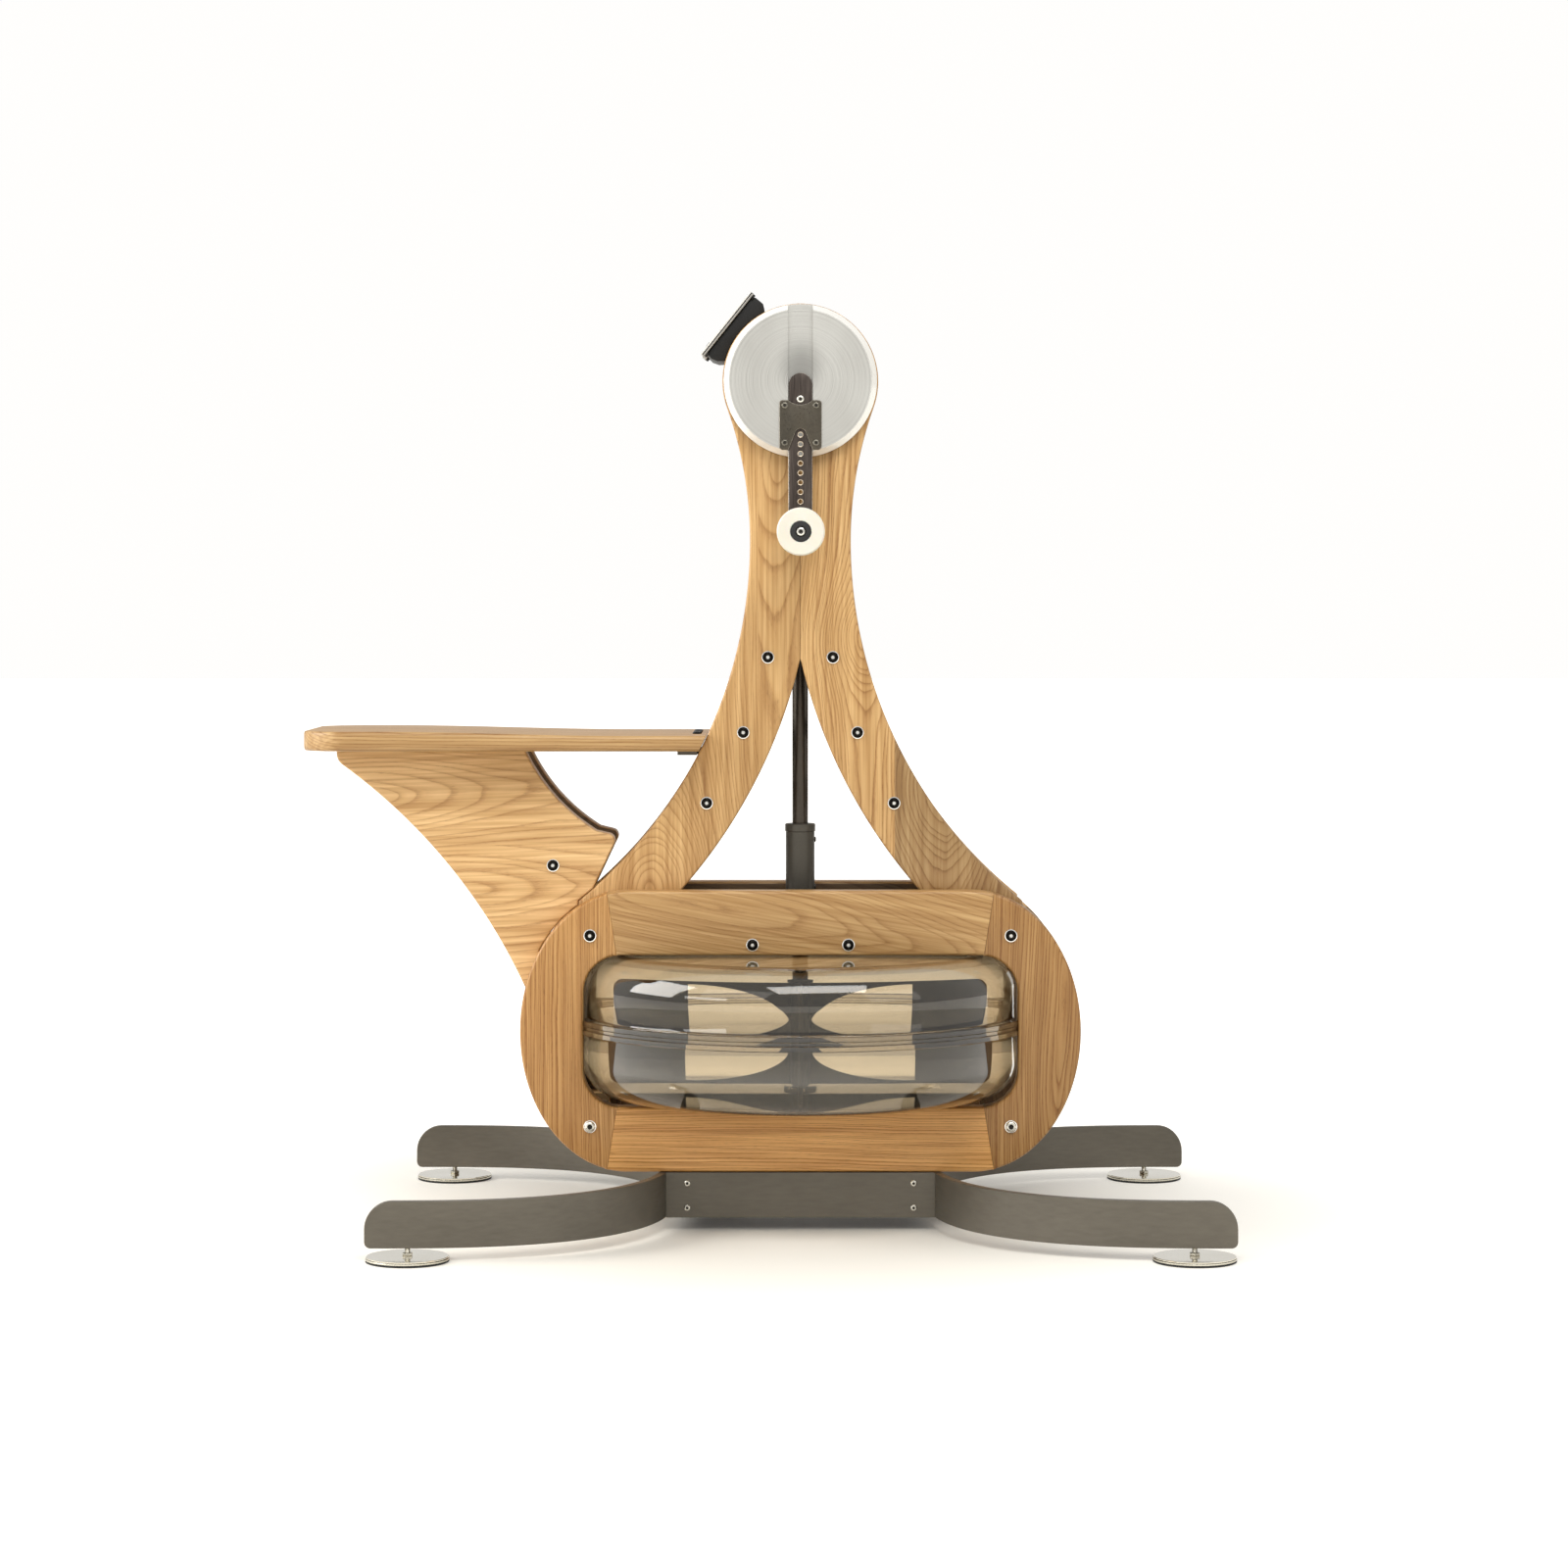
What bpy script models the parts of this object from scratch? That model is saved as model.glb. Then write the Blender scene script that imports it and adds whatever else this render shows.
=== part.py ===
"""Upper body ergometer: two hand cranks turn a bladed paddle in a water tank.

Metres, +Z up, +X away from the seat, +Y away from the side that the front crank is on.
Every size below is written about the vertical shaft's axis. One empty then moves the whole
object, so that the world origin lies at the middle of its footprint on the floor.
"""

from math import asin, atan2, copysign, cos, degrees, hypot, pi, radians, sin, sqrt

import bmesh
import bpy
from mathutils import Euler

# Fits
GAP = 0.0003
SIDES = 32
SMALL_CHAMFER = 0.001
EMBED = 0.001
CUTTER_LENGTH = 0.2
CUTTER_OVERRUN = 0.01

# Levelling feet
PAD_RADIUS = 0.0455
PAD_THICKNESS = 0.0065
PAD_RIM = 0.002
STUD_RADIUS = 0.003
STUD_END_ROOM = 0.002
NUT_RADIUS = 0.0055
NUT_HEIGHT = 0.0034
FOOT_X = 0.426

# Base of bent steel strip
STRIP_CLEARANCE = 0.0145
STRIP_HEIGHT = 0.051
BEAM_THICKNESS = 0.005
BOW_THICKNESS = 0.009
BOW_HALF_WIDTH = 0.3035
BOW_APEX = 0.1505
BOW_STRAIGHT_FROM = 0.450
BOW_REACH = 0.4725
BOW_POWER = 2.5
BOW_TOP_CORNER = 0.030
BOW_BOTTOM_CORNER = 0.0065
STUD_HOLE_DEPTH = 0.022
BEAM_FLANGE = 0.036
BEAM_PROUD = 0.002
TAB_LENGTH = 0.034

# Spacing of the wooden plates
CHAMBER = 0.0664
PLATE_THICKNESS = 0.030
RING_THICKNESS = 0.030
EDGE_ROUND = 0.003

# Ring frame round the tank
RING_HEIGHT = 0.3190
RING_HALF_LENGTH = 0.3188
RING_END = 0.1224
RAIL_HEIGHT = 0.0733
OPENING_HALF_LENGTH = 0.2468
OPENING_CORNER = 0.0425
JOINT_OUTER_X = 0.2198
JOINT_INNER_X = 0.2087
RING_BOLT_X = 0.2391
RING_BOLT_HEIGHTS = (0.3343, 0.1175)

# Two-legged upper frame
CRANK_HEIGHT = 0.9655
HEAD_RADIUS = 0.0891
NECK_HALF_WIDTH = 0.0577
NECK_HEIGHT = 0.783
LEG_ARC_RADIUS = 0.530
LEG_WIDTH = 0.0728
LEG_TRIM_HEIGHT = 0.3665
LEG_TRIM_SLOPE = 0.83
LEG_LIP = 0.0005
LEG_END_CLEARANCE = 0.002

# Through bolts, each with its spacer sleeve
BOLT_RADIUS = 0.003
BOLT_HEAD_RADIUS = 0.0066
BOLT_HEAD_HEIGHT = 0.0045
WASHER_RADIUS = 0.0074
WASHER_THICKNESS = 0.001
SPACER_RADIUS = 0.011
FRAME_BOLT_HEIGHTS = (0.650, 0.564, 0.4833)

# Seat
SEAT_REACH = 0.5673
SEAT_TOP = 0.5620
SEAT_THICKNESS = 0.0177
SEAT_RISE = 0.0047
SEAT_RISE_FROM = -0.200
SEAT_RISE_TO = -0.480
SEAT_HALF_WIDTH = 0.120
SEAT_CORNER = 0.055
SEAT_BUTT_GAP = 0.0008
SEAT_EDGE_ROUND = 0.003
SUPPORT_OUTER_RADIUS = 0.6464
SUPPORT_OUTER_CENTRE = (-0.9024, 0.0032)
SUPPORT_INNER_RADIUS = 0.214
SUPPORT_INNER_CENTRE = (-0.1208, 0.6335)
SUPPORT_CORNER = (-0.2089, 0.4457)
SUPPORT_KNEE_HEIGHT = 0.3859
SUPPORT_TIP_X = 0.5304
SUPPORT_FOOT_HEIGHT = 0.098
SUPPORT_FOOT_X = -0.222
SUPPORT_BOLT = (-0.2829, 0.4121)
SUPPORT_INNER_END_HEIGHT = 0.4515
SUPPORT_HIDDEN_INSET = 0.002
SUPPORT_TANK_CLEARANCE = 0.0015
SUPPORT_STEP_CLEARANCE = 0.004
SUPPORT_LEG_GAP = 0.0005
BRACKET_THICKNESS = 0.006
BRACKET_REACH = 0.1407
BRACKET_HALF_WIDTH = 0.060
BRACKET_LEG_CLEARANCE = 0.004
BRACKET_EAR_START = 0.108
BRACKET_EAR_END = 0.062
BRACKET_EAR_HEIGHT = 0.038

# Water tank
TANK_FLANGE_RADIUS = 0.264
TANK_WALL_RADIUS = 0.2530
TANK_WALL = 0.004
TANK_FLANGE_THICKNESS = 0.0065
TANK_CORNER = 0.041
SLOT_CLEARANCE = 0.0008
TANK_MIDDLE = 0.2294
TANK_RISE = 0.0801
TANK_DROP = 0.0846
TANK_CROWN = 0.002
TANK_CROWN_HALF_WAY = 0.0012
GASKET_THICKNESS = 0.0034
GASKET_INSET = 0.001
PIVOT_RADIUS = 0.020
PIVOT_HEIGHT = 0.004
TANK_NECK_RADIUS = 0.016
TANK_NECK_HEIGHT = 0.004
TANK_SIDES = 40
WATER_DEPTH = 0.0758
WATER_SWEEP_CLEARANCE = 0.004
WATER_PIVOT_CLEARANCE = 0.003
WATER_BED_CLEARANCE = 0.002
DECK_THICKNESS = 0.018
DECK_HALF_LENGTH = 0.160
BRIDGE_HALF_LENGTH = 0.085
BRIDGE_THICKNESS = 0.034
BRIDGE_BOLT = (0.0545, 0.3238)

# Paddle
PADDLE_RADIUS = 0.2165
PADDLE_LOW = 0.155
PADDLE_HIGH = 0.278
PADDLE_PLATE = 0.004
PADDLE_HUB_RADIUS = 0.0112
PADDLE_WINDOW_OUTER = 0.130
PADDLE_WINDOW_INNER = 0.0135
PADDLE_BAR = 0.0045
PADDLE_CORNER = 0.012

# Vertical drive
SHAFT_RADIUS = 0.0091
SLEEVE_RADIUS = 0.0176
SLEEVE_TOP = 0.4566
SLEEVE_BOTTOM = 0.356
SLEEVE_COLLAR = 0.0008
SLEEVE_COLLAR_HEIGHT = 0.009
BEARING_BLOCK_HEIGHTS = (0.690, 0.740)
BEARING_BLOCK_HALF_WIDTH = 0.044

# Bevel gears and crank shaft
CRANK_SHAFT_RADIUS = 0.010
GEAR_TEETH = 36
PINION_TEETH = 18
GEAR_PITCH_RADIUS = 0.044
GEAR_FACE = 0.010
TOOTH_TIP_DEG = 0.9
TOOTH_ROOT_DEG = 1.7
TOOTH_TIP_SHARE = 0.09
TOOTH_ROOT_SHARE = 0.33
GEAR_HUB_RADIUS = 0.019
GEAR_HUB_LENGTH = 0.0085
PINION_HUB_RADIUS = 0.0145
PINION_HUB_LENGTH = 0.014
BEARING_RADIUS = 0.021
HEAD_BAND_THICKNESS = 0.011
HEAD_BAND_SET_BACK = 0.0006
HEAD_BAND_DEGREES = (-42, 222)

# Crank discs
DISC_CLEARANCE = 0.0028
DISC_THICKNESS = 0.020
DISC_RADIUS = 0.0874
DISC_FACE_RADIUS = 0.0813
DISC_BEVEL_DEPTH = 0.009
CHANNEL_WIDTH = 0.0284
CHANNEL_DEPTH = 0.0086

# Crank arms
ARM_WIDTH = 0.0273
ARM_THICKNESS = 0.008
ARM_TOP = 0.9741
CRANK_RADIUS = 0.1741
ARM_HOLES = 8
ARM_HOLE_PITCH = 0.01088
ARM_HOLE_RADIUS = 0.0025
ARM_TOP_HOLE = 0.9036
ARM_STOP_HEIGHT = 0.9441
ARM_STOP_RADIUS = 0.0043
ARM_STOP_PROUD = 0.0015
CLAMP_HALF_WIDTH = 0.0242
CLAMP_TOP = 0.9429
CLAMP_BOTTOM = 0.8861
CLAMP_THICKNESS = 0.003
CLAMP_CORNER = 0.004
CLAMP_DIP_HALF_WIDTH = 0.0139
CLAMP_DIP = 0.0053
CLAMP_ARCH_TOP = 0.9103
CLAMP_ARCH_RADIUS = 0.0062

# Grips
PIN_RADIUS = 0.006
GRIP_LENGTH = 0.115
GRIP_END_RADIUS = 0.0267
GRIP_WAIST_RADIUS = 0.0175
GRIP_INNER_RADIUS = 0.0235
GRIP_CAP_RADIUS = 0.0116
GRIP_CAP_THICKNESS = 0.004
GRIP_EDGE = 0.0015
GRIP_RIM = 0.008
GRIP_FLARE_RADIUS = 0.0219
GRIP_FLARE = 0.014
GRIP_WAIST = 0.026
GRIP_BELLY = 0.001
GRIP_SHOULDER = 0.007
GRIP_SHOULDER_RADIUS = 0.020
GRIP_SHOULDER_END = 0.012

# Monitor
SCREEN_LOWER_END = (-0.1143, 0.9986)
SCREEN_UPPER_END = (-0.0572, 1.0702)
SCREEN_THICKNESS = 0.0050
SCREEN_CORNER = 0.003
SCREEN_HALF_WIDTH = 0.045
BODY_HALF_WIDTH = 0.040
BODY_INSET = 0.0045
BODY_SHOULDER = ((-0.0413, 1.0502), (-0.0428, 1.0559), (-0.0512, 1.0629))
BODY_HEEL = ((-0.1059, 0.9967), (-0.1016, 0.9924), (-0.0945, 0.9899))
BODY_ARC_DEGREES = (117, 163.9)
BUTTON_RADIUS = 0.0045
BUTTON_SPACING = 0.024
BUTTON_FROM_END = 0.014
BUTTON_PROUD = 0.0016
BUTTON_BURIED = 0.0022

# Sizes that follow from the ones above
PLATE_MIDDLE = CHAMBER / 2 + PLATE_THICKNESS / 2
RING_INNER_Y = CHAMBER / 2 + PLATE_THICKNESS + GAP
RING_MIDDLE = RING_INNER_Y + RING_THICKNESS / 2
STRIP_TOP = STRIP_CLEARANCE + STRIP_HEIGHT
RING_BOTTOM = STRIP_TOP + GAP
RING_TOP = RING_BOTTOM + RING_HEIGHT
RING_CENTRE = RING_BOTTOM + RING_HEIGHT / 2
RING_STRAIGHT = RING_HALF_LENGTH - RING_END
OPENING_BOTTOM = RING_BOTTOM + RAIL_HEIGHT
OPENING_TOP = RING_TOP - RAIL_HEIGHT
LEG_ARC_CENTRE = NECK_HALF_WIDTH + LEG_ARC_RADIUS
LEG_INNER_RADIUS = LEG_ARC_RADIUS + LEG_WIDTH
LEG_BOLT_RADIUS = LEG_ARC_RADIUS + LEG_WIDTH / 2
LEG_BOTTOM = OPENING_TOP + LEG_END_CLEARANCE
HEAD_RISE = CRANK_HEIGHT - NECK_HEIGHT
NECK_ARC_RADIUS = (NECK_HALF_WIDTH**2 + HEAD_RISE**2 - HEAD_RADIUS**2) / (
    2 * (HEAD_RADIUS - NECK_HALF_WIDTH)
)
BOLT_HOLE_RADIUS = BOLT_RADIUS + GAP
CHAMBER_HALF = CHAMBER / 2 - GAP
SEAT_BOTTOM = SEAT_TOP - SEAT_THICKNESS
TANK_TOP = TANK_MIDDLE + TANK_RISE
TANK_BOTTOM = TANK_MIDDLE - TANK_DROP
DISC_BACK = CHAMBER / 2 + PLATE_THICKNESS + DISC_CLEARANCE
DISC_FACE = DISC_BACK + DISC_THICKNESS
CHANNEL_FLOOR = DISC_FACE - CHANNEL_DEPTH
ARM_BACK = CHANNEL_FLOOR + GAP
ARM_FRONT = ARM_BACK + ARM_THICKNESS
GRIP_START = DISC_FACE + CLAMP_THICKNESS + 2 * GAP
GRIP_HEIGHT = CRANK_HEIGHT - CRANK_RADIUS
ORIGIN_SHIFT = (SEAT_REACH - BOW_REACH) / 2


def clear_scene():
    for old in list(bpy.data.objects):
        bpy.data.objects.remove(old, do_unlink=True)


def new_collection(name):
    collection = bpy.data.collections.new(name)
    bpy.context.scene.collection.children.link(collection)
    return collection


clear_scene()
PARTS = new_collection("upper_body_ergometer")
CUTTERS = new_collection("cutters")
ORIGIN = bpy.data.objects.new("shaft_axis", None)
ORIGIN.location.x = ORIGIN_SHIFT
PARTS.objects.link(ORIGIN)


def material(name, colour, roughness, metallic=0.0, alpha=1.0):
    """One Principled material, made the first time its name is used."""
    found = bpy.data.materials.get(name)
    if found:
        return found
    made = bpy.data.materials.new(name)
    made.use_nodes = True
    shader = made.node_tree.nodes["Principled BSDF"]
    shader.inputs["Base Color"].default_value = (*colour, 1.0)
    shader.inputs["Roughness"].default_value = roughness
    shader.inputs["Metallic"].default_value = metallic
    shader.inputs["Alpha"].default_value = alpha
    made.diffuse_color = (*colour, alpha)
    return made


def ash_wood():
    return material("ash_wood", (0.61, 0.36, 0.15), 0.45)


def grey_steel():
    return material("grey_steel", (0.12, 0.105, 0.085), 0.5, 0.6)


def bright_steel():
    return material("bright_steel", (0.6, 0.6, 0.58), 0.25, 1.0)


def dark_steel():
    return material("dark_steel", (0.09, 0.075, 0.06), 0.4, 0.8)


def brushed_aluminium():
    return material("brushed_aluminium", (0.62, 0.61, 0.57), 0.35, 1.0)


def smoked_plastic():
    return material("smoked_plastic", (0.25, 0.22, 0.19), 0.08, 0.0, 0.4)


def black_plastic():
    return material("black_plastic", (0.015, 0.014, 0.012), 0.45)


def ivory_plastic():
    return material("ivory_plastic", (0.88, 0.86, 0.80), 0.35)


def black_rubber():
    return material("black_rubber", (0.02, 0.02, 0.02), 0.8)


def water_look():
    return material("water", (0.35, 0.37, 0.36), 0.05, 0.0, 0.35)


def adopt(obj, look=None):
    """Puts an object under the shaft axis, as a part with a look or else as a hidden cutter."""
    obj.parent = ORIGIN
    if look:
        PARTS.objects.link(obj)
        obj.data.materials.clear()
        obj.data.materials.append(look)
        return obj
    CUTTERS.objects.link(obj)
    obj.hide_render = True
    obj.display_type = "WIRE"
    return obj


TURNED_TO = {
    "XZ": Euler((pi / 2, 0, 0)),
    "YZ": Euler((pi / 2, 0, pi / 2)),
    "XY": Euler((0, 0, 0)),
}


def prism(name, loops, depth, plane="XZ", at=(0, 0, 0), look=None):
    """A flat outline, with any further loops as holes, given a depth centred on its plane."""
    curve = bpy.data.curves.new(name, "CURVE")
    curve.dimensions = "2D"
    curve.fill_mode = "BOTH"
    curve.extrude = depth / 2
    for loop in loops:
        spline = curve.splines.new("POLY")
        spline.points.add(len(loop) - 1)
        for point, (x, y) in zip(spline.points, loop):
            point.co = (x, y, 0, 1)
        spline.use_cyclic_u = True
    flat = bpy.data.objects.new(name + "_outline", curve)
    CUTTERS.objects.link(flat)
    bpy.context.view_layer.update()
    graph = bpy.context.evaluated_depsgraph_get()
    mesh = bpy.data.meshes.new_from_object(flat.evaluated_get(graph))
    bpy.data.objects.remove(flat, do_unlink=True)
    bpy.data.curves.remove(curve)
    shape = bmesh.new()
    shape.from_mesh(mesh)
    bmesh.ops.remove_doubles(shape, verts=shape.verts, dist=1e-5)
    bmesh.ops.dissolve_limit(
        shape, angle_limit=radians(0.05), verts=shape.verts, edges=shape.edges
    )
    bmesh.ops.recalc_face_normals(shape, faces=shape.faces)
    shape.to_mesh(mesh)
    shape.free()
    mesh.name = name
    obj = bpy.data.objects.new(name, mesh)
    obj.rotation_euler = TURNED_TO[plane]
    obj.location = at
    return adopt(obj, look)


def box(name, low, high, look=None):
    size = [b - a for a, b in zip(low, high)]
    mesh = bpy.data.meshes.new(name)
    shape = bmesh.new()
    bmesh.ops.create_cube(shape, size=1)
    bmesh.ops.scale(shape, vec=size, verts=shape.verts)
    shape.to_mesh(mesh)
    shape.free()
    obj = bpy.data.objects.new(name, mesh)
    obj.location = [(a + b) / 2 for a, b in zip(low, high)]
    return adopt(obj, look)


AXIS_TURN = {
    "+Z": Euler((0, 0, 0)),
    "-Y": Euler((pi / 2, 0, 0)),
    "+Y": Euler((-pi / 2, 0, 0)),
}


def rod(name, radius, length, axis, at, look=None, sides=SIDES):
    """A cylinder that starts at a point and runs along an axis."""
    mesh = bpy.data.meshes.new(name)
    shape = bmesh.new()
    bmesh.ops.create_cone(
        shape, cap_ends=True, segments=sides, radius1=radius, radius2=radius, depth=length
    )
    bmesh.ops.translate(shape, vec=(0, 0, length / 2), verts=shape.verts)
    shape.to_mesh(mesh)
    shape.free()
    obj = bpy.data.objects.new(name, mesh)
    obj.rotation_euler = AXIS_TURN[axis]
    obj.location = at
    return adopt(obj, look)


def turned(name, profile, axis, at, look=None, sides=SIDES):
    """A (radius, height) profile, drawn down its outer side, swept once round by a Screw."""
    mesh = bpy.data.meshes.new(name)
    ends = [(i, (i + 1) % len(profile)) for i in range(len(profile))]
    if profile[0][0] == 0 and profile[-1][0] == 0:
        ends.pop()
    mesh.from_pydata([(r, 0, z) for r, z in profile], ends, [])
    obj = bpy.data.objects.new(name, mesh)
    obj.rotation_euler = AXIS_TURN[axis]
    obj.location = at
    adopt(obj, look)
    screw = obj.modifiers.new("Screw", "SCREW")
    screw.steps = sides
    screw.render_steps = sides
    screw.use_merge_vertices = True
    screw.merge_threshold = 1e-5
    screw.use_smooth_shade = False
    return obj


def boolean(obj, other, operation):
    change = obj.modifiers.new(other.name, "BOOLEAN")
    change.operation = operation
    change.object = other
    change.solver = "EXACT"


def cut(obj, *others):
    for other in others:
        boolean(obj, other, "DIFFERENCE")


def join(obj, *others):
    for other in others:
        boolean(obj, other, "UNION")


def round_edges(obj, width, segments=1, over_degrees=50):
    bevel = obj.modifiers.new("Bevel", "BEVEL")
    bevel.width = width
    bevel.segments = segments
    bevel.limit_method = "ANGLE"
    bevel.angle_limit = radians(over_degrees)


def arc(centre, radius, start, end, steps):
    """Points on a circle from one angle to another, in degrees."""
    turns = [radians(start + (end - start) * i / steps) for i in range(steps + 1)]
    return [(centre[0] + radius * cos(t), centre[1] + radius * sin(t)) for t in turns]


def circle(centre, radius, sides=8):
    return arc(centre, radius, 0, 360 * (sides - 1) / sides, sides - 1)


def rounded_box(low, high, corners, steps=4):
    """A rectangle whose corners, from the lower left round, each have a radius."""
    spots = ((low[0], low[1]), (high[0], low[1]), (high[0], high[1]), (low[0], high[1]))
    signs = ((1, 1), (-1, 1), (-1, -1), (1, -1))
    points = []
    for number, (spot, sign, radius) in enumerate(zip(spots, signs, corners)):
        centre = (spot[0] + sign[0] * radius, spot[1] + sign[1] * radius)
        start = 180 + 90 * number
        points += arc(centre, radius, start, start + 90, steps)
    return points


def mirrored(points):
    """The outline on the other side of the shaft axis, still drawn the same way round."""
    return [(-x, z) for x, z in reversed(points)]


def heights(start, end, steps):
    return [start + (end - start) * i / steps for i in range(steps + 1)]


# Base


def bow_line(extra):
    """The right bow's plan from its front end round to its rear end, moved outwards by extra."""
    length = BOW_STRAIGHT_FROM - BOW_APEX + extra
    width = BOW_HALF_WIDTH + extra
    steps = 30
    points = []
    for step in range(steps + 1):
        turn = -pi / 2 + pi * step / steps
        across = abs(sin(turn)) ** (2 / BOW_POWER)
        along = abs(cos(turn)) ** (2 / BOW_POWER)
        points.append((BOW_STRAIGHT_FROM - length * along, copysign(width * across, turn)))
    return points


def bow(side):
    """One bent strip of the base, drilled for its feet, with the tabs that the beams screw to."""
    hand = "left" if side < 0 else "right"
    plan = [(BOW_REACH, -BOW_HALF_WIDTH)] + bow_line(0) + [(BOW_REACH, BOW_HALF_WIDTH)]
    low, high = STRIP_CLEARANCE, STRIP_TOP
    mesh = bpy.data.meshes.new("base_bow_" + hand)
    points = [(side * x, y, z) for z in (low, high) for x, y in plan]
    count = len(plan)
    faces = [(i, i + 1, i + 1 + count, i + count) for i in range(count - 1)]
    mesh.from_pydata(points, [], faces)
    strip = adopt(bpy.data.objects.new(mesh.name, mesh), grey_steel())
    skin = strip.modifiers.new("Solidify", "SOLIDIFY")
    skin.thickness = BOW_THICKNESS
    skin.offset = 0
    skin.use_even_offset = True
    outline = bow_side_outline(low, high)
    if side < 0:
        outline = mirrored(outline)
    boolean(strip, prism(f"bow_{hand}_ends", [outline], 3 * BOW_HALF_WIDTH), "INTERSECT")
    for where, front in (("front", -1), ("rear", 1)):
        below = (side * FOOT_X, front * BOW_HALF_WIDTH, low - STUD_HOLE_DEPTH)
        hole = rod(
            f"hole_{where}_{hand}", STUD_RADIUS + GAP, 2 * STUD_HOLE_DEPTH, "+Z", below, sides=12
        )
        join(strip, tab(f"tab_{where}_{hand}", side, front))
        cut(strip, hole)
    return strip


def bow_side_outline(low, high):
    """The strip seen from the side, with the large and the small corner of its end."""
    corner = arc((BOW_REACH - BOW_BOTTOM_CORNER, low + BOW_BOTTOM_CORNER), BOW_BOTTOM_CORNER, -90, 0, 3)
    crown = arc((BOW_REACH - BOW_TOP_CORNER, high - BOW_TOP_CORNER), BOW_TOP_CORNER, 0, 90, 7)
    inner = BOW_APEX - BOW_THICKNESS - CUTTER_OVERRUN
    return [(inner, low)] + corner + crown + [(inner, high)]


def bow_face_at(y):
    """How far from the shaft axis the bow's middle line lies at this distance from the middle."""
    length = BOW_STRAIGHT_FROM - BOW_APEX
    return BOW_STRAIGHT_FROM - length * (1 - (y / BOW_HALF_WIDTH) ** BOW_POWER) ** (1 / BOW_POWER)


def tab(name, side, front):
    """The small plate behind a beam's end that its two screws go into."""
    near = RING_MIDDLE + RING_THICKNESS / 2 - BEAM_THICKNESS
    reach = bow_face_at(near)
    xs = sorted((side * (reach - TAB_LENGTH), side * reach))
    ys = sorted((front * (near - GAP), front * (near - GAP - BEAM_THICKNESS)))
    low = STRIP_CLEARANCE + BEAM_THICKNESS / 2
    high = STRIP_TOP - BEAM_THICKNESS - 2 * GAP
    return box(name, (xs[0], ys[0], low), (xs[1], ys[1], high))


def bow_keepout(side):
    """All that lies within a bow's faces, a clearance larger, for trimming the beams."""
    plan = bow_line(BOW_THICKNESS / 2 + GAP)
    if side < 0:
        plan = mirrored(plan)
    name = "bow_keepout_left" if side < 0 else "bow_keepout_right"
    middle = STRIP_CLEARANCE + STRIP_HEIGHT / 2
    return prism(name, [plan], 2 * STRIP_HEIGHT, "XY", (0, 0, middle))


def beams():
    """Front and rear cross beams, folded so that the ring frame stands on their top flanges."""
    outer = RING_MIDDLE + RING_THICKNESS / 2 + BEAM_PROUD
    keepouts = [bow_keepout(-1), bow_keepout(1)]
    low, high = STRIP_CLEARANCE, STRIP_TOP
    web = outer - BEAM_THICKNESS
    fold = [
        (outer, low),
        (outer, high),
        (outer - BEAM_FLANGE, high),
        (outer - BEAM_FLANGE, high - BEAM_THICKNESS),
        (web, high - BEAM_THICKNESS),
        (web, low),
    ]
    for name, section in (("base_beam_front", mirrored(fold)), ("base_beam_rear", fold)):
        beam = prism(name, [section], 2.4 * BOW_APEX, "YZ", look=grey_steel())
        cut(beam, *keepouts)


def foot(name, x, y):
    """A pad that stands on the floor, with the nut on it and the stud that goes up the strip."""
    top = STRIP_CLEARANCE + STUD_HOLE_DEPTH - STUD_END_ROOM
    profile = [
        (0, top),
        (STUD_RADIUS, top),
        (STUD_RADIUS, PAD_THICKNESS + NUT_HEIGHT),
        (NUT_RADIUS, PAD_THICKNESS + NUT_HEIGHT),
        (NUT_RADIUS, PAD_THICKNESS),
        (PAD_RADIUS - PAD_RIM, PAD_THICKNESS - PAD_RIM / 2),
        (PAD_RADIUS, PAD_THICKNESS - PAD_RIM),
        (PAD_RADIUS - PAD_RIM, 0),
        (0, 0),
    ]
    turned(name, profile, "+Z", (x, y, 0), bright_steel(), 20)


def base():
    bow(-1)
    bow(1)
    beams()
    for end, y in (("front", -BOW_HALF_WIDTH), ("rear", BOW_HALF_WIDTH)):
        foot(f"foot_{end}_left", -FOOT_X, y)
        foot(f"foot_{end}_right", FOOT_X, y)


# Ring frame


def ring_edge(z):
    """Half the ring frame's length at this height."""
    rise = min(1.0, abs(z - RING_CENTRE) / (RING_HEIGHT / 2))
    return RING_STRAIGHT + RING_END * sqrt(1 - rise**2)


def ring_outer_arc(start_x, steps):
    """The right end's curve from above, where it meets start_x, round to below."""
    begin = degrees(asin(sqrt(1 - ((start_x - RING_STRAIGHT) / RING_END) ** 2)))
    turns = [radians(begin - 2 * begin * i / steps) for i in range(steps + 1)]
    return [
        (RING_STRAIGHT + RING_END * cos(t), RING_CENTRE + RING_HEIGHT / 2 * sin(t)) for t in turns
    ]


def opening_corner(upper, steps):
    """The right-hand corner of the opening, from its joint to its upright side."""
    height = OPENING_TOP if upper else OPENING_BOTTOM
    sign = 1 if upper else -1
    centre = (OPENING_HALF_LENGTH - OPENING_CORNER, height - sign * OPENING_CORNER)
    begin = degrees(asin(sqrt(1 - ((JOINT_INNER_X - centre[0]) / OPENING_CORNER) ** 2)))
    return arc(centre, OPENING_CORNER, sign * begin, 0, steps)


def ring_end_piece():
    """Outline of the right-hand end piece, with its two bolt holes."""
    outline = ring_outer_arc(JOINT_OUTER_X, 18)
    outline += opening_corner(False, 5)
    outline += opening_corner(True, 5)[::-1]
    return [outline] + [circle((RING_BOLT_X, z), BOLT_HOLE_RADIUS) for z in RING_BOLT_HEIGHTS]


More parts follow.
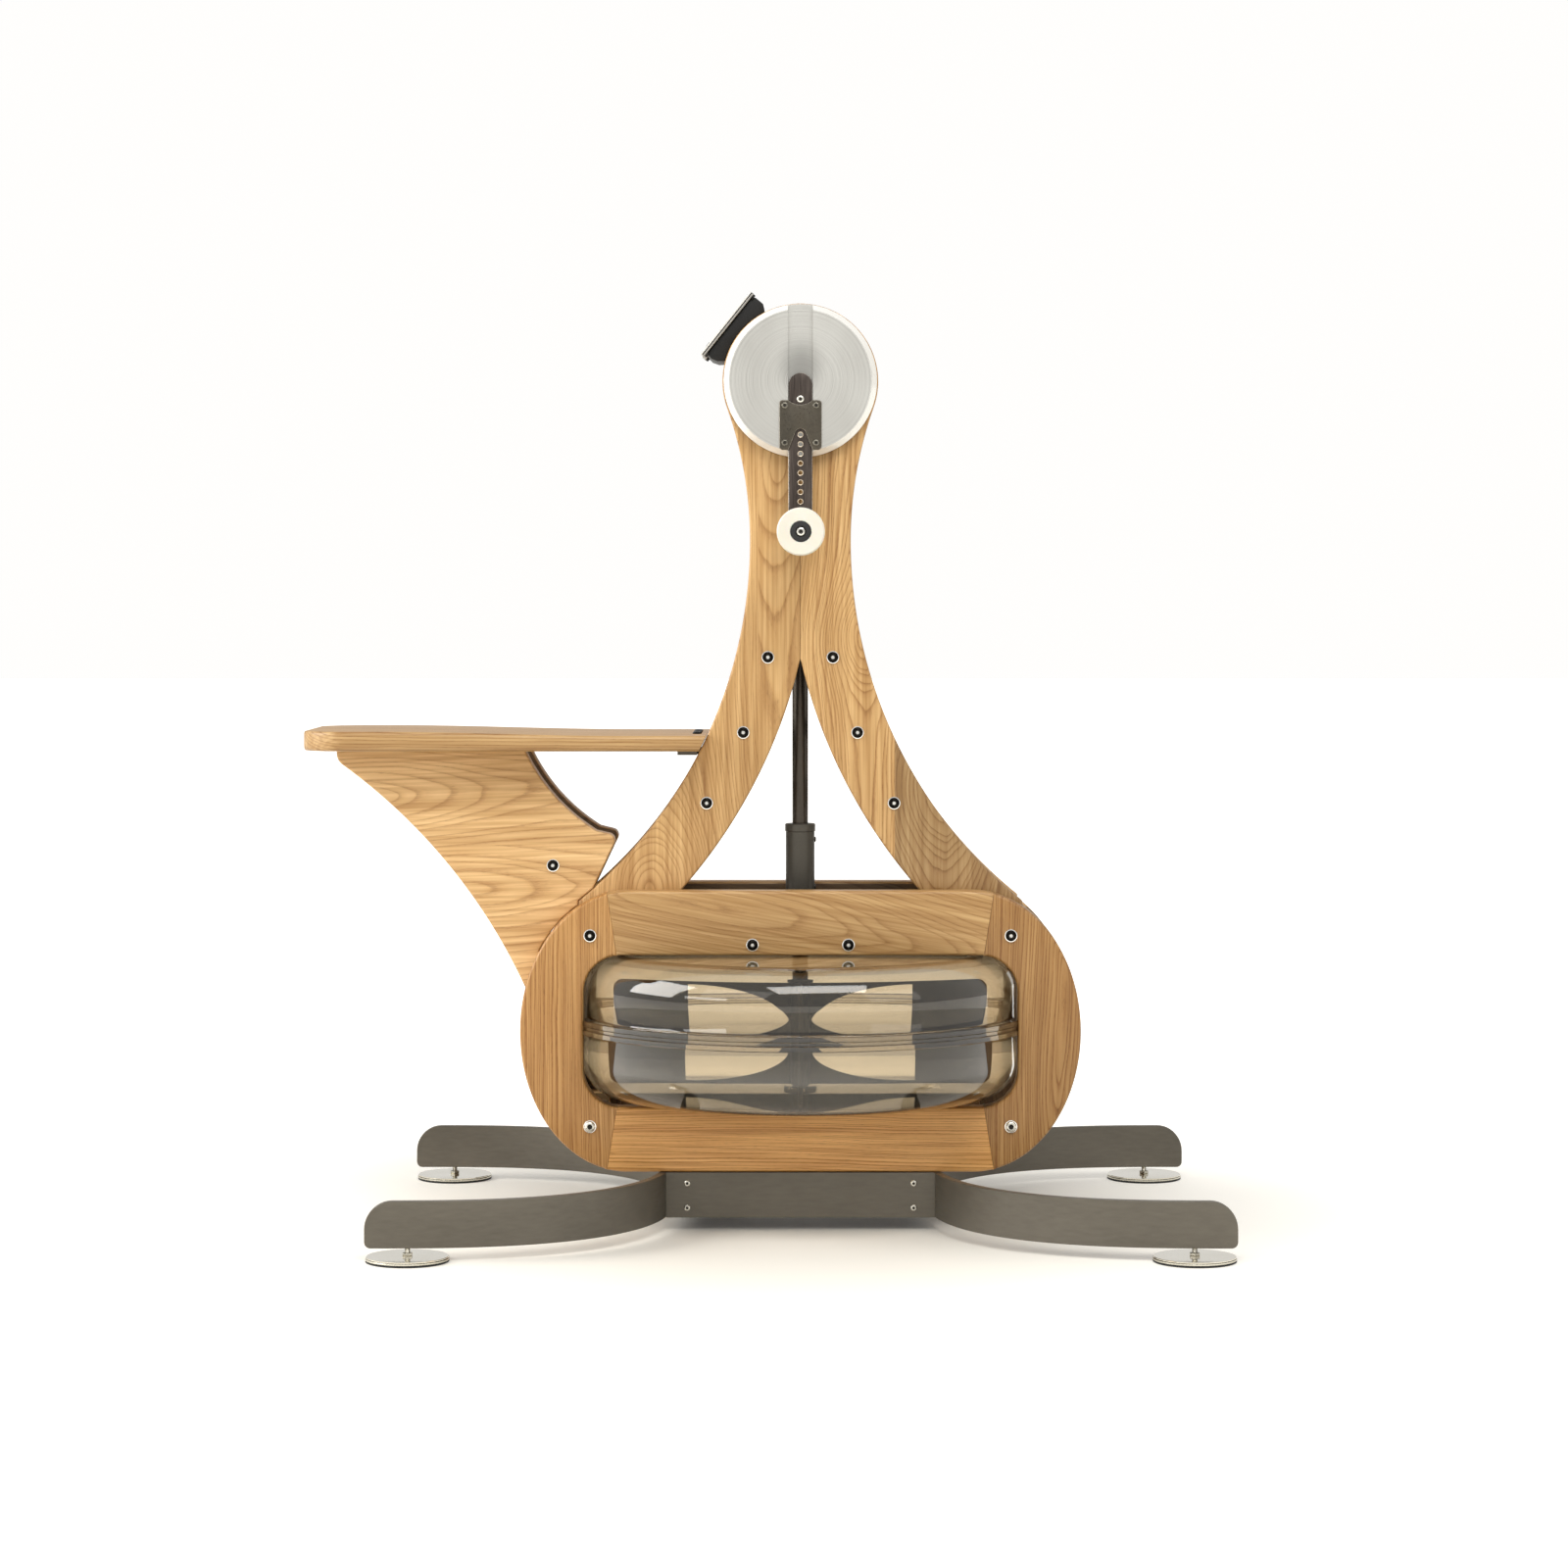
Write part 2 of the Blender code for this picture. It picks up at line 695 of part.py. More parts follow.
def rail_outline(upper):
    """Outline of a rail between the two slanted joints."""
    edge, lip = (RING_TOP, OPENING_TOP) if upper else (RING_BOTTOM, OPENING_BOTTOM)
    sign = 1 if upper else -1
    outer_x = JOINT_OUTER_X - GAP
    inner_x = JOINT_INNER_X - GAP
    points = []
    for step in range(4):
        x = outer_x - (outer_x - RING_STRAIGHT) * step / 3
        drop = 1 - sqrt(1 - ((x - RING_STRAIGHT) / RING_END) ** 2)
        points.append((x, edge - sign * drop * RING_HEIGHT / 2))
    corner = OPENING_HALF_LENGTH - OPENING_CORNER
    lips = []
    for step in range(3):
        x = inner_x - (inner_x - corner) * step / 2
        drop = OPENING_CORNER - sqrt(OPENING_CORNER**2 - (x - corner) ** 2)
        lips.append((x, lip - sign * drop))
    right = lips[::-1] + points
    left = [(-x, z) for x, z in right[::-1]]
    return right + left


def flange_slot():
    """The disc of space that lets the tank's flange pass through the end pieces."""
    half = GASKET_THICKNESS / 2 + GAP + TANK_FLANGE_THICKNESS + SLOT_CLEARANCE
    start = (0, 0, TANK_MIDDLE - half)
    return rod("flange_slot", TANK_FLANGE_RADIUS + SLOT_CLEARANCE, 2 * half, "+Z", start, sides=64)


def ring_frames():
    """Two glued frames of four boards each, one in front of the legs and one behind them."""
    ends = {"right": ring_end_piece()}
    ends["left"] = [mirrored(loop) for loop in ends["right"]]
    bolts = [circle((sign * BRIDGE_BOLT[0], BRIDGE_BOLT[1]), BOLT_HOLE_RADIUS) for sign in (-1, 1)]
    rails = {"top": [rail_outline(True)] + bolts, "bottom": [rail_outline(False)]}
    slot = flange_slot()
    for where, y in (("front", -RING_MIDDLE), ("rear", RING_MIDDLE)):
        boards = {f"ring_{where}_{hand}_end": loops for hand, loops in ends.items()}
        boards.update({f"ring_{where}_{level}_rail": loops for level, loops in rails.items()})
        for name, loops in boards.items():
            board = prism(name, loops, RING_THICKNESS, "XZ", (0, y, 0), ash_wood())
            round_edges(board, EDGE_ROUND)
            if name.endswith("_end"):
                cut(board, slot)


# Upper frame


def leg_outer(z):
    """How far from the shaft axis the leg's outer edge lies at this height."""
    return LEG_ARC_CENTRE - sqrt(LEG_ARC_RADIUS**2 - (NECK_HEIGHT - z) ** 2)


def leg_inner(z):
    return LEG_ARC_CENTRE - sqrt(LEG_INNER_RADIUS**2 - (NECK_HEIGHT - z) ** 2)


def leg_end(z):
    """The leg's outer edge, which runs straight into the ring frame and then follows it."""
    if z > LEG_TRIM_HEIGHT:
        return leg_outer(z)
    straight = leg_outer(LEG_TRIM_HEIGHT) + LEG_TRIM_SLOPE * (LEG_TRIM_HEIGHT - z)
    return min(straight, ring_edge(z) + LEG_LIP)


def leg_end_heights():
    """The heights at which the leg's lower outer edge and the seat support beside it bend."""
    return heights(SUPPORT_KNEE_HEIGHT, LEG_TRIM_HEIGHT, 2) + heights(
        LEG_TRIM_HEIGHT, LEG_BOTTOM, 6
    )[1:]


def leg_bolt_x(z):
    return LEG_ARC_CENTRE - sqrt(LEG_BOLT_RADIUS**2 - (NECK_HEIGHT - z) ** 2)


def frame_half_outline():
    """The right-hand half: seam, head, neck, leg and the inner edge back up to the crotch."""
    seam = GAP / 2
    bore = BEARING_RADIUS + GAP
    crotch = NECK_HEIGHT - sqrt(LEG_INNER_RADIUS**2 - (LEG_ARC_CENTRE - seam) ** 2)
    centre = (0, CRANK_HEIGHT)
    bore_angle = degrees(asin(sqrt(1 - (seam / bore) ** 2)))
    head_angle = degrees(asin(sqrt(1 - (seam / HEAD_RADIUS) ** 2)))
    neck_centre = (NECK_HALF_WIDTH + NECK_ARC_RADIUS, NECK_HEIGHT)
    tangent = degrees(atan2(NECK_HEIGHT - CRANK_HEIGHT, neck_centre[0]))
    outline = [(seam, crotch)]
    outline += arc(centre, bore, -bore_angle, bore_angle, 10)
    outline += arc(centre, HEAD_RADIUS, head_angle, tangent, 18)
    outline += arc(neck_centre, NECK_ARC_RADIUS, 180 + tangent, 180, 5)[1:]
    outline += [(leg_outer(z), z) for z in heights(NECK_HEIGHT, SUPPORT_KNEE_HEIGHT, 12)[1:-1]]
    outline += [(leg_end(z), z) for z in leg_end_heights()]
    outline += [(leg_inner(z), z) for z in heights(LEG_BOTTOM, crotch, 11)[:-1]]
    return outline


def frame_halves():
    outline = frame_half_outline()
    holes = [circle((leg_bolt_x(z), z), BOLT_HOLE_RADIUS) for z in FRAME_BOLT_HEIGHTS]
    holes.append(circle((RING_BOLT_X, RING_BOLT_HEIGHTS[0]), BOLT_HOLE_RADIUS))
    loops = [outline] + holes
    for where, y in (("front", -PLATE_MIDDLE), ("rear", PLATE_MIDDLE)):
        for hand, shape in (("right", loops), ("left", [mirrored(loop) for loop in loops])):
            name = f"frame_{where}_{hand}"
            prism(name, shape, PLATE_THICKNESS, "XZ", (0, y, 0), ash_wood())


def through_bolt(name, x, z, outer):
    """A bolt through both plates, with a head and washer at each end and a spacer between."""
    washer = outer + GAP
    head = washer + WASHER_THICKNESS
    end = head + BOLT_HEAD_HEIGHT
    half = [
        (BOLT_HEAD_RADIUS, end),
        (BOLT_HEAD_RADIUS, head),
        (WASHER_RADIUS, head),
        (WASHER_RADIUS, washer),
        (BOLT_RADIUS, washer),
        (BOLT_RADIUS, CHAMBER_HALF),
        (SPACER_RADIUS, CHAMBER_HALF),
    ]
    profile = [(0, end)] + half + [(r, -y) for r, y in half[::-1]] + [(0, -end)]
    turned(name, profile, "-Y", (x, 0, z), dark_steel(), 10)


def frame_bolts():
    outer = CHAMBER / 2 + PLATE_THICKNESS
    for place, z in zip(("crotch", "upper", "lower"), FRAME_BOLT_HEIGHTS):
        through_bolt(f"frame_bolt_{place}_left", -leg_bolt_x(z), z, outer)
        through_bolt(f"frame_bolt_{place}_right", leg_bolt_x(z), z, outer)


# Seat


def support_outer(z):
    reach = sqrt(SUPPORT_OUTER_RADIUS**2 - (z - SUPPORT_OUTER_CENTRE[1]) ** 2)
    return -(SUPPORT_OUTER_CENTRE[0] + reach)


def support_tip_height():
    """Where the swept outer edge meets the upright cut at the tip under the seat."""
    reach = SUPPORT_TIP_X + SUPPORT_OUTER_CENTRE[0]
    return SUPPORT_OUTER_CENTRE[1] + sqrt(SUPPORT_OUTER_RADIUS**2 - reach**2)


def support_outline():
    """The board under the seat, down its swept outer edge to the foot behind the ring's end."""
    top = SEAT_BOTTOM - GAP
    tank_side = -sqrt(TANK_FLANGE_RADIUS**2 - (CHAMBER / 2) ** 2) - SUPPORT_TANK_CLEARANCE
    outline = [
        (-min(SUPPORT_TIP_X, max(support_outer(z), ring_edge(z) - SUPPORT_HIDDEN_INSET)), z)
        for z in [top] + heights(support_tip_height(), SUPPORT_FOOT_HEIGHT, 18)
    ]
    outline.append((SUPPORT_FOOT_X, SUPPORT_FOOT_HEIGHT))
    step_low = TANK_BOTTOM - SUPPORT_STEP_CLEARANCE
    outline += [(SUPPORT_FOOT_X, step_low), (tank_side, step_low)]
    outline.append((tank_side, LEG_BOTTOM - SUPPORT_STEP_CLEARANCE))
    outline += [(-leg_end(z) - SUPPORT_LEG_GAP, z) for z in leg_end_heights()[::-1]]
    outline.append(SUPPORT_CORNER)
    centre, radius = SUPPORT_INNER_CENTRE, SUPPORT_INNER_RADIUS
    low_turn = degrees(asin((SUPPORT_INNER_END_HEIGHT - centre[1]) / radius))
    high_turn = degrees(asin((top - centre[1]) / radius))
    outline += arc(centre, radius, 180 - low_turn, 180 - high_turn, 10)
    return outline


def seat_supports():
    holes = [
        circle(SUPPORT_BOLT, BOLT_HOLE_RADIUS),
        circle((-RING_BOLT_X, RING_BOLT_HEIGHTS[1]), BOLT_HOLE_RADIUS),
    ]
    for where, y in (("front", -PLATE_MIDDLE), ("rear", PLATE_MIDDLE)):
        loops = [support_outline()] + holes
        prism(f"seat_support_{where}", loops, PLATE_THICKNESS, "XZ", (0, y, 0), ash_wood())
    outer = CHAMBER / 2 + PLATE_THICKNESS
    through_bolt("seat_support_bolt", *SUPPORT_BOLT, outer)


def seat_top(x):
    """The height of the board's upper face, which rises gently towards the free end."""
    share = min(1.0, max(0.0, (x - SEAT_RISE_FROM) / (SEAT_RISE_TO - SEAT_RISE_FROM)))
    return SEAT_TOP + SEAT_RISE * share * share * (3 - 2 * share)


def seat_board():
    """The bench board: its side outline, rounded off at the free end by its plan."""
    butt = SEAT_BUTT_GAP
    outline = [
        (-SEAT_REACH, SEAT_BOTTOM),
        (-leg_outer(SEAT_BOTTOM) - butt, SEAT_BOTTOM),
        (-leg_outer(SEAT_TOP) - butt, SEAT_TOP),
    ]
    outline += [(x, seat_top(x)) for x in heights(SEAT_RISE_FROM, SEAT_RISE_TO, 8)]
    outline.append((-SEAT_REACH, seat_top(-SEAT_REACH)))
    corners = (SEAT_CORNER, SMALL_CHAMFER, SMALL_CHAMFER, SEAT_CORNER)
    plan = rounded_box((-SEAT_REACH, -SEAT_HALF_WIDTH), (0, SEAT_HALF_WIDTH), corners, 7)
    board = prism("seat_board", [outline], 3 * SEAT_HALF_WIDTH, "XZ", (0, 0, 0), ash_wood())
    boolean(board, prism("seat_plan", [plan], 4 * SEAT_THICKNESS, "XY", (0, 0, SEAT_TOP)), "INTERSECT")
    round_edges(board, SEAT_EDGE_ROUND)


def seat_bracket():
    """The folded plate under the board's right end, held between the two left legs."""
    top = SEAT_BOTTOM - GAP
    low = top - BRACKET_THICKNESS
    legs = -leg_outer(SEAT_BOTTOM) - BRACKET_LEG_CLEARANCE
    half, inside = BRACKET_HALF_WIDTH, CHAMBER_HALF
    wide = box("seat_bracket", (-BRACKET_REACH, -half, low), (legs, half, top), dark_steel())
    start = legs - BRACKET_HALF_WIDTH / 3
    join(wide, box("bracket_tongue", (start, -inside, low), (-BRACKET_EAR_END, inside, top)))
    ear_low = top - BRACKET_EAR_HEIGHT
    for sign in (-1, 1):
        ys = sorted((sign * inside, sign * (inside - BRACKET_THICKNESS / 2)))
        ear_start = (-BRACKET_EAR_START, ys[0], ear_low)
        join(wide, box(f"bracket_ear_{sign}", ear_start, (-BRACKET_EAR_END, ys[1], low + EMBED)))


def seat():
    seat_board()
    seat_supports()
    seat_bracket()


# Tank


def upper_shell_profile():
    """The upper half in section: outer skin from the shaft outwards, then back along the inside."""
    half = TANK_RISE
    flange = GASKET_THICKNESS / 2 + GAP
    corner = TANK_CORNER
    flat = TANK_WALL_RADIUS - corner
    bore = SHAFT_RADIUS + GAP
    outer = [(bore, half + TANK_CROWN), (flat / 2, half + TANK_CROWN_HALF_WAY)]
    outer += arc((flat, half - corner), corner, 90, 0, 5)
    outer += [
        (TANK_WALL_RADIUS, flange + TANK_FLANGE_THICKNESS),
        (TANK_FLANGE_RADIUS, flange + TANK_FLANGE_THICKNESS),
        (TANK_FLANGE_RADIUS, flange),
    ]
    inner = [(TANK_WALL_RADIUS - TANK_WALL, flange)]
    inner += arc((flat, half - corner), corner - TANK_WALL, 0, 90, 5)
    inner += [
        (flat / 2, half + TANK_CROWN_HALF_WAY - TANK_WALL),
        (bore, half + TANK_CROWN - TANK_WALL),
    ]
    return outer + inner


def tank_shells():
    at = (0, 0, TANK_MIDDLE)
    upper = upper_shell_profile()
    upper[0] = (upper[0][0], upper[0][1] + TANK_NECK_HEIGHT)
    upper.insert(1, (TANK_NECK_RADIUS, upper[0][1]))
    upper.insert(2, (TANK_NECK_RADIUS, TANK_RISE + TANK_CROWN - GAP))
    turned("tank_upper_shell", upper, "+Z", at, smoked_plastic(), TANK_SIDES)
    turned("tank_lower_shell", lower_shell_profile(), "+Z", at, smoked_plastic(), TANK_SIDES)
    inner = TANK_WALL_RADIUS - TANK_WALL
    half = GASKET_THICKNESS / 2
    seal = [
        (TANK_FLANGE_RADIUS - GASKET_INSET, half),
        (TANK_FLANGE_RADIUS - GASKET_INSET, -half),
        (inner + TANK_WALL / 4, -half),
        (inner + TANK_WALL / 4, half),
    ]
    turned("tank_gasket", seal, "+Z", at, black_rubber(), TANK_SIDES)


def lower_shell_profile():
    """The lower shell is closed in the middle and carries the pivot that the paddle stands on."""
    flange = GASKET_THICKNESS / 2 + GAP
    corner = TANK_CORNER
    flat = TANK_WALL_RADIUS - corner
    half = TANK_DROP
    inner = [
        (0, -half + TANK_WALL + PIVOT_HEIGHT),
        (PIVOT_RADIUS - PIVOT_HEIGHT / 2, -half + TANK_WALL + PIVOT_HEIGHT),
        (PIVOT_RADIUS, -half + TANK_WALL),
    ]
    inner += arc((flat, -half + corner), corner - TANK_WALL, -90, 0, 5)
    inner.append((TANK_WALL_RADIUS - TANK_WALL, -flange))
    outer = [
        (TANK_FLANGE_RADIUS, -flange),
        (TANK_FLANGE_RADIUS, -flange - TANK_FLANGE_THICKNESS),
        (TANK_WALL_RADIUS, -flange - TANK_FLANGE_THICKNESS),
    ]
    outer += arc((flat, -half + corner), corner, 0, -90, 5)
    outer.append((0, -half))
    return inner + outer


def water():
    """The water, hollowed where the paddle sweeps through it."""
    corner = TANK_CORNER - TANK_WALL - GAP
    flat = TANK_WALL_RADIUS - TANK_CORNER
    floor = TANK_BOTTOM + TANK_WALL + GAP
    top = floor + WATER_DEPTH
    sweep = PADDLE_RADIUS + WATER_SWEEP_CLEARANCE
    bed = PADDLE_LOW - WATER_BED_CLEARANCE
    profile = [(sweep, top), (flat + corner, top)]
    profile += arc((flat, floor + corner), corner, 0, -90, 5)
    pivot = PIVOT_RADIUS + WATER_PIVOT_CLEARANCE
    profile += [(pivot, floor), (pivot, bed), (sweep, bed)]
    turned("water", profile, "+Z", (0, 0, 0), water_look(), TANK_SIDES)


def shaft_bore(name, low):
    """A cutter for the vertical shaft's hole through a piece that starts at this height."""
    return rod(name, SHAFT_RADIUS + GAP, CUTTER_LENGTH, "+Z", (0, 0, low - CUTTER_LENGTH / 4))


def tank_carriers():
    """The deck that the tank stands on and the block over it that guides the shaft."""
    deck_top = TANK_BOTTOM - GAP
    side = RING_INNER_Y - GAP
    deck = box(
        "tank_deck",
        (-DECK_HALF_LENGTH, -side, deck_top - DECK_THICKNESS),
        (DECK_HALF_LENGTH, side, deck_top),
        ash_wood(),
    )
    round_edges(deck, SMALL_CHAMFER)
    low = TANK_TOP + TANK_CROWN + TANK_NECK_HEIGHT + 2 * GAP
    bridge = box(
        "shaft_bridge",
        (-BRIDGE_HALF_LENGTH, -side, low),
        (BRIDGE_HALF_LENGTH, side, low + BRIDGE_THICKNESS),
        ash_wood(),
    )
    cut(bridge, shaft_bore("bridge_bore", low))
    round_edges(bridge, SMALL_CHAMFER)


def paddle_window(side):
    """A window with its straight edge outwards and its round edge towards the hub."""
    middle = (PADDLE_LOW + PADDLE_HIGH) / 2
    rise = (PADDLE_HIGH - PADDLE_LOW) / 2 - PADDLE_BAR
    reach = PADDLE_WINDOW_OUTER - PADDLE_WINDOW_INNER
    turns = [radians(90 + 180 * i / 14) for i in range(15)]
    window = [(PADDLE_WINDOW_OUTER + reach * cos(t), middle + rise * sin(t)) for t in turns]
    return window if side > 0 else mirrored(window)


def paddle():
    """Two crossed vanes on a hub, and the shaft that stands up through the tank's neck."""
    middle = (PADDLE_LOW + PADDLE_HIGH) / 2
    low, high = PADDLE_LOW - middle, PADDLE_HIGH - middle
    vane = rounded_box((-PADDLE_RADIUS, low), (PADDLE_RADIUS, high), (PADDLE_CORNER,) * 4)
    windows = [paddle_window(1), paddle_window(-1)]
    windows = [[(x, z - middle) for x, z in loop] for loop in windows]
    loops = [vane] + windows
    wheel = prism("paddle", loops, PADDLE_PLATE, "XZ", (0, 0, middle), dark_steel())
    cross = prism("paddle_cross", loops, PADDLE_PLATE, "YZ", (0, 0, middle))
    pivot_top = TANK_BOTTOM + TANK_WALL + PIVOT_HEIGHT
    tall = PADDLE_HIGH - PADDLE_LOW
    hub = rod("paddle_hub", PADDLE_HUB_RADIUS, tall, "+Z", (0, 0, PADDLE_LOW), sides=20)
    top = (SLEEVE_TOP + SLEEVE_BOTTOM) / 2 - GAP
    low_end = pivot_top + GAP
    stem = rod("paddle_stem", SHAFT_RADIUS, top - low_end, "+Z", (0, 0, low_end), sides=20)
    join(wheel, cross, hub, stem)


def tank():
    tank_shells()
    water()
    tank_carriers()
    paddle()


# Drive


def drive_shaft():
    bottom = (SLEEVE_TOP + SLEEVE_BOTTOM) / 2 + GAP
    apex_to_pinion = GEAR_PITCH_RADIUS
    top = CRANK_HEIGHT - apex_to_pinion + GEAR_FACE - GAP
    rod("drive_shaft", SHAFT_RADIUS, top - bottom, "+Z", (0, 0, bottom), dark_steel())


def coupling_sleeve():
    """The sleeve that joins the two shafts, with a slight collar at each end."""
    bore = SHAFT_RADIUS + GAP
    collar = SLEEVE_RADIUS
    body = SLEEVE_RADIUS - SLEEVE_COLLAR
    profile = [
        (bore, SLEEVE_TOP),
        (collar, SLEEVE_TOP),
        (collar, SLEEVE_TOP - SLEEVE_COLLAR_HEIGHT),
        (body, SLEEVE_TOP - SLEEVE_COLLAR_HEIGHT - SLEEVE_COLLAR),
        (body, SLEEVE_BOTTOM + SLEEVE_COLLAR_HEIGHT + SLEEVE_COLLAR),
        (collar, SLEEVE_BOTTOM + SLEEVE_COLLAR_HEIGHT),
        (collar, SLEEVE_BOTTOM),
        (bore, SLEEVE_BOTTOM),
    ]
    turned("coupling_sleeve", profile, "+Z", (0, 0, 0), grey_steel(), 20)


def bearing_block():
    low, high = BEARING_BLOCK_HEIGHTS
    half = BEARING_BLOCK_HALF_WIDTH
    corners = (-half, -CHAMBER_HALF, low), (half, CHAMBER_HALF, high)
    block = box("shaft_bearing_block", *corners, ash_wood())
    cut(block, shaft_bore("block_bore", low))
    round_edges(block, SMALL_CHAMFER)


def bevel_gear(name, teeth, radius, reach, face, phase, look):
    """A straight bevel gear whose pitch cone has its point at the object's origin, along +Z."""
    pitch = atan2(radius, reach)
    tip = radians(degrees(pitch) + TOOTH_TIP_DEG)
    root = radians(degrees(pitch) - TOOTH_ROOT_DEG)
    mesh = bpy.data.meshes.new(name)
    shape = bmesh.new()
    bmesh.ops.create_cone(
        shape, cap_ends=True, segments=4 * teeth, radius1=radius, radius2=radius, depth=face
    )
    shares = (-TOOTH_TIP_SHARE, TOOTH_TIP_SHARE, TOOTH_ROOT_SHARE, 1 - TOOTH_ROOT_SHARE)
    for end in (0, 1):
        level = -reach + end * face
        ring = [v for v in shape.verts if (v.co.z > 0) == bool(end)]
        ring.sort(key=lambda v: atan2(v.co.y, v.co.x) % (2 * pi - 1e-6))
        for number, vert in enumerate(ring):
            tooth, corner = divmod(number, 4)
            turn = 2 * pi * (tooth + shares[corner] + phase) / teeth
            cone = tip if corner < 2 else root
            spread = -level * sin(cone) / cos(cone)
            vert.co = (spread * cos(turn), spread * sin(turn), level)
    bmesh.ops.recalc_face_normals(shape, faces=shape.faces)
    shape.to_mesh(mesh)
    shape.free()
    return adopt(bpy.data.objects.new(name, mesh), look)


def gears():
    """The large gear on the crank shaft and the small one on top of the vertical shaft."""
    pinion_radius = GEAR_PITCH_RADIUS * PINION_TEETH / GEAR_TEETH
    apex = (0, 0, CRANK_HEIGHT)
    steel = bright_steel()
    gear = bevel_gear(
        "bevel_gear", GEAR_TEETH, GEAR_PITCH_RADIUS, pinion_radius, GEAR_FACE / 2, 0.5, steel
    )
    gear.rotation_euler = AXIS_TURN["-Y"]
    gear.location = apex
    hub_start = (0, pinion_radius - EMBED, CRANK_HEIGHT)
    join(gear, rod("gear_hub", GEAR_HUB_RADIUS, GEAR_HUB_LENGTH + EMBED, "+Y", hub_start))
    bore = CRANK_SHAFT_RADIUS + GAP
    cut(gear, rod("gear_bore", bore, 2 * CHAMBER, "+Y", (0, -CHAMBER, CRANK_HEIGHT)))
    pinion = bevel_gear(
        "bevel_pinion", PINION_TEETH, pinion_radius, GEAR_PITCH_RADIUS, GEAR_FACE, 0.5, steel
    )
    pinion.location = apex
    below = CRANK_HEIGHT - GEAR_PITCH_RADIUS - PINION_HUB_LENGTH
    hub_length = PINION_HUB_LENGTH + EMBED
    join(pinion, rod("pinion_hub", PINION_HUB_RADIUS, hub_length, "+Z", (0, 0, below)))
    cut(pinion, shaft_bore("pinion_bore", below))


def crank_shaft():
    length = 2 * (CHANNEL_FLOOR - GAP)
    start = (0, -length / 2, CRANK_HEIGHT)
    rod("crank_shaft", CRANK_SHAFT_RADIUS, length, "+Y", start, bright_steel())


def crank_bearings():
    inner = CRANK_SHAFT_RADIUS + GAP
    profile = [
        (BEARING_RADIUS, PLATE_THICKNESS / 2),
        (BEARING_RADIUS, -PLATE_THICKNESS / 2),
        (inner, -PLATE_THICKNESS / 2),
        (inner, PLATE_THICKNESS / 2),
    ]
    for where, y in (("front", -PLATE_MIDDLE), ("rear", PLATE_MIDDLE)):
        turned(f"crank_bearing_{where}", profile, "-Y", (0, y, CRANK_HEIGHT), bright_steel(), 28)


def head_band():
    """The band that closes the head between its plates, open below for the vertical shaft."""
    centre = (0, CRANK_HEIGHT)
    start, end = HEAD_BAND_DEGREES
    outer = HEAD_RADIUS - HEAD_BAND_SET_BACK
    outline = arc(centre, outer, start, end, 26)
    outline += arc(centre, outer - HEAD_BAND_THICKNESS, end, start, 22)
    prism("head_band", [outline], 2 * CHAMBER_HALF, "XZ", (0, 0, 0), ash_wood())


def drive():
    drive_shaft()
    coupling_sleeve()
    bearing_block()
    gears()
    crank_shaft()
    crank_bearings()
    head_band()


# Cranks


def crank_disc(where, side):
    """A turned disc with a wide bevel and the channel that its arm slides in."""
    bore = CRANK_SHAFT_RADIUS + GAP
    profile = [
        (bore, DISC_THICKNESS),
        (DISC_FACE_RADIUS, DISC_THICKNESS),
        (DISC_RADIUS, DISC_THICKNESS - DISC_BEVEL_DEPTH),
        (DISC_RADIUS, SMALL_CHAMFER),
        (DISC_RADIUS - SMALL_CHAMFER, 0),
        (bore, 0),
    ]
    axis = "-Y" if side < 0 else "+Y"
    disc = turned(
        f"crank_disc_{where}",
        profile,
        axis,
        (0, side * DISC_BACK, CRANK_HEIGHT),
        brushed_aluminium(),
        48,
    )
    ys = sorted((side * CHANNEL_FLOOR, side * (DISC_FACE + CUTTER_OVERRUN)))
    channel = box(
        f"channel_{where}",
        (-CHANNEL_WIDTH / 2, ys[0], CRANK_HEIGHT - 2 * DISC_RADIUS),
        (CHANNEL_WIDTH / 2, ys[1], CRANK_HEIGHT + 2 * DISC_RADIUS),
    )
    cut(disc, channel)


def arm_outline():
    """The bar with both ends round, in heights from the grip's axis."""
    half = ARM_WIDTH / 2
    top = ARM_TOP - GRIP_HEIGHT
    return arc((0, top - half), half, 0, 180, 10) + arc((0, 0), half, 180, 360, 10)


def crank_arm(where, side):
    """The drilled bar with its stop screw, and the pin and end cap that hold the grip."""
    holes = [
        circle((0, ARM_TOP_HOLE - number * ARM_HOLE_PITCH - GRIP_HEIGHT), ARM_HOLE_RADIUS, 10)
        for number in range(ARM_HOLES)
    ]
    y = side * (ARM_BACK + ARM_THICKNESS / 2)
    loops = [arm_outline()] + holes
    bar = prism(f"crank_arm_{where}", loops, ARM_THICKNESS, "XZ", (0, y, GRIP_HEIGHT), dark_steel())
    axis = "-Y" if side < 0 else "+Y"
    start = (0, side * (ARM_BACK + ARM_THICKNESS / 2), GRIP_HEIGHT)
    cap_face = GRIP_START + GRIP_LENGTH
    reach = cap_face - ARM_BACK - ARM_THICKNESS / 2
    pin = rod(f"grip_pin_{where}", PIN_RADIUS, reach, axis, start, sides=20)
    cap_start = (0, side * (cap_face - GRIP_CAP_THICKNESS), GRIP_HEIGHT)
    cap = rod(f"grip_cap_{where}", GRIP_CAP_RADIUS, GRIP_CAP_THICKNESS, axis, cap_start, sides=24)
    stop_start = (0, side * (ARM_FRONT - EMBED), ARM_STOP_HEIGHT)
    stop_length = ARM_STOP_PROUD + EMBED
    stop = rod(f"arm_stop_{where}", ARM_STOP_RADIUS, stop_length, axis, stop_start, sides=16)
    join(bar, pin, cap, stop)


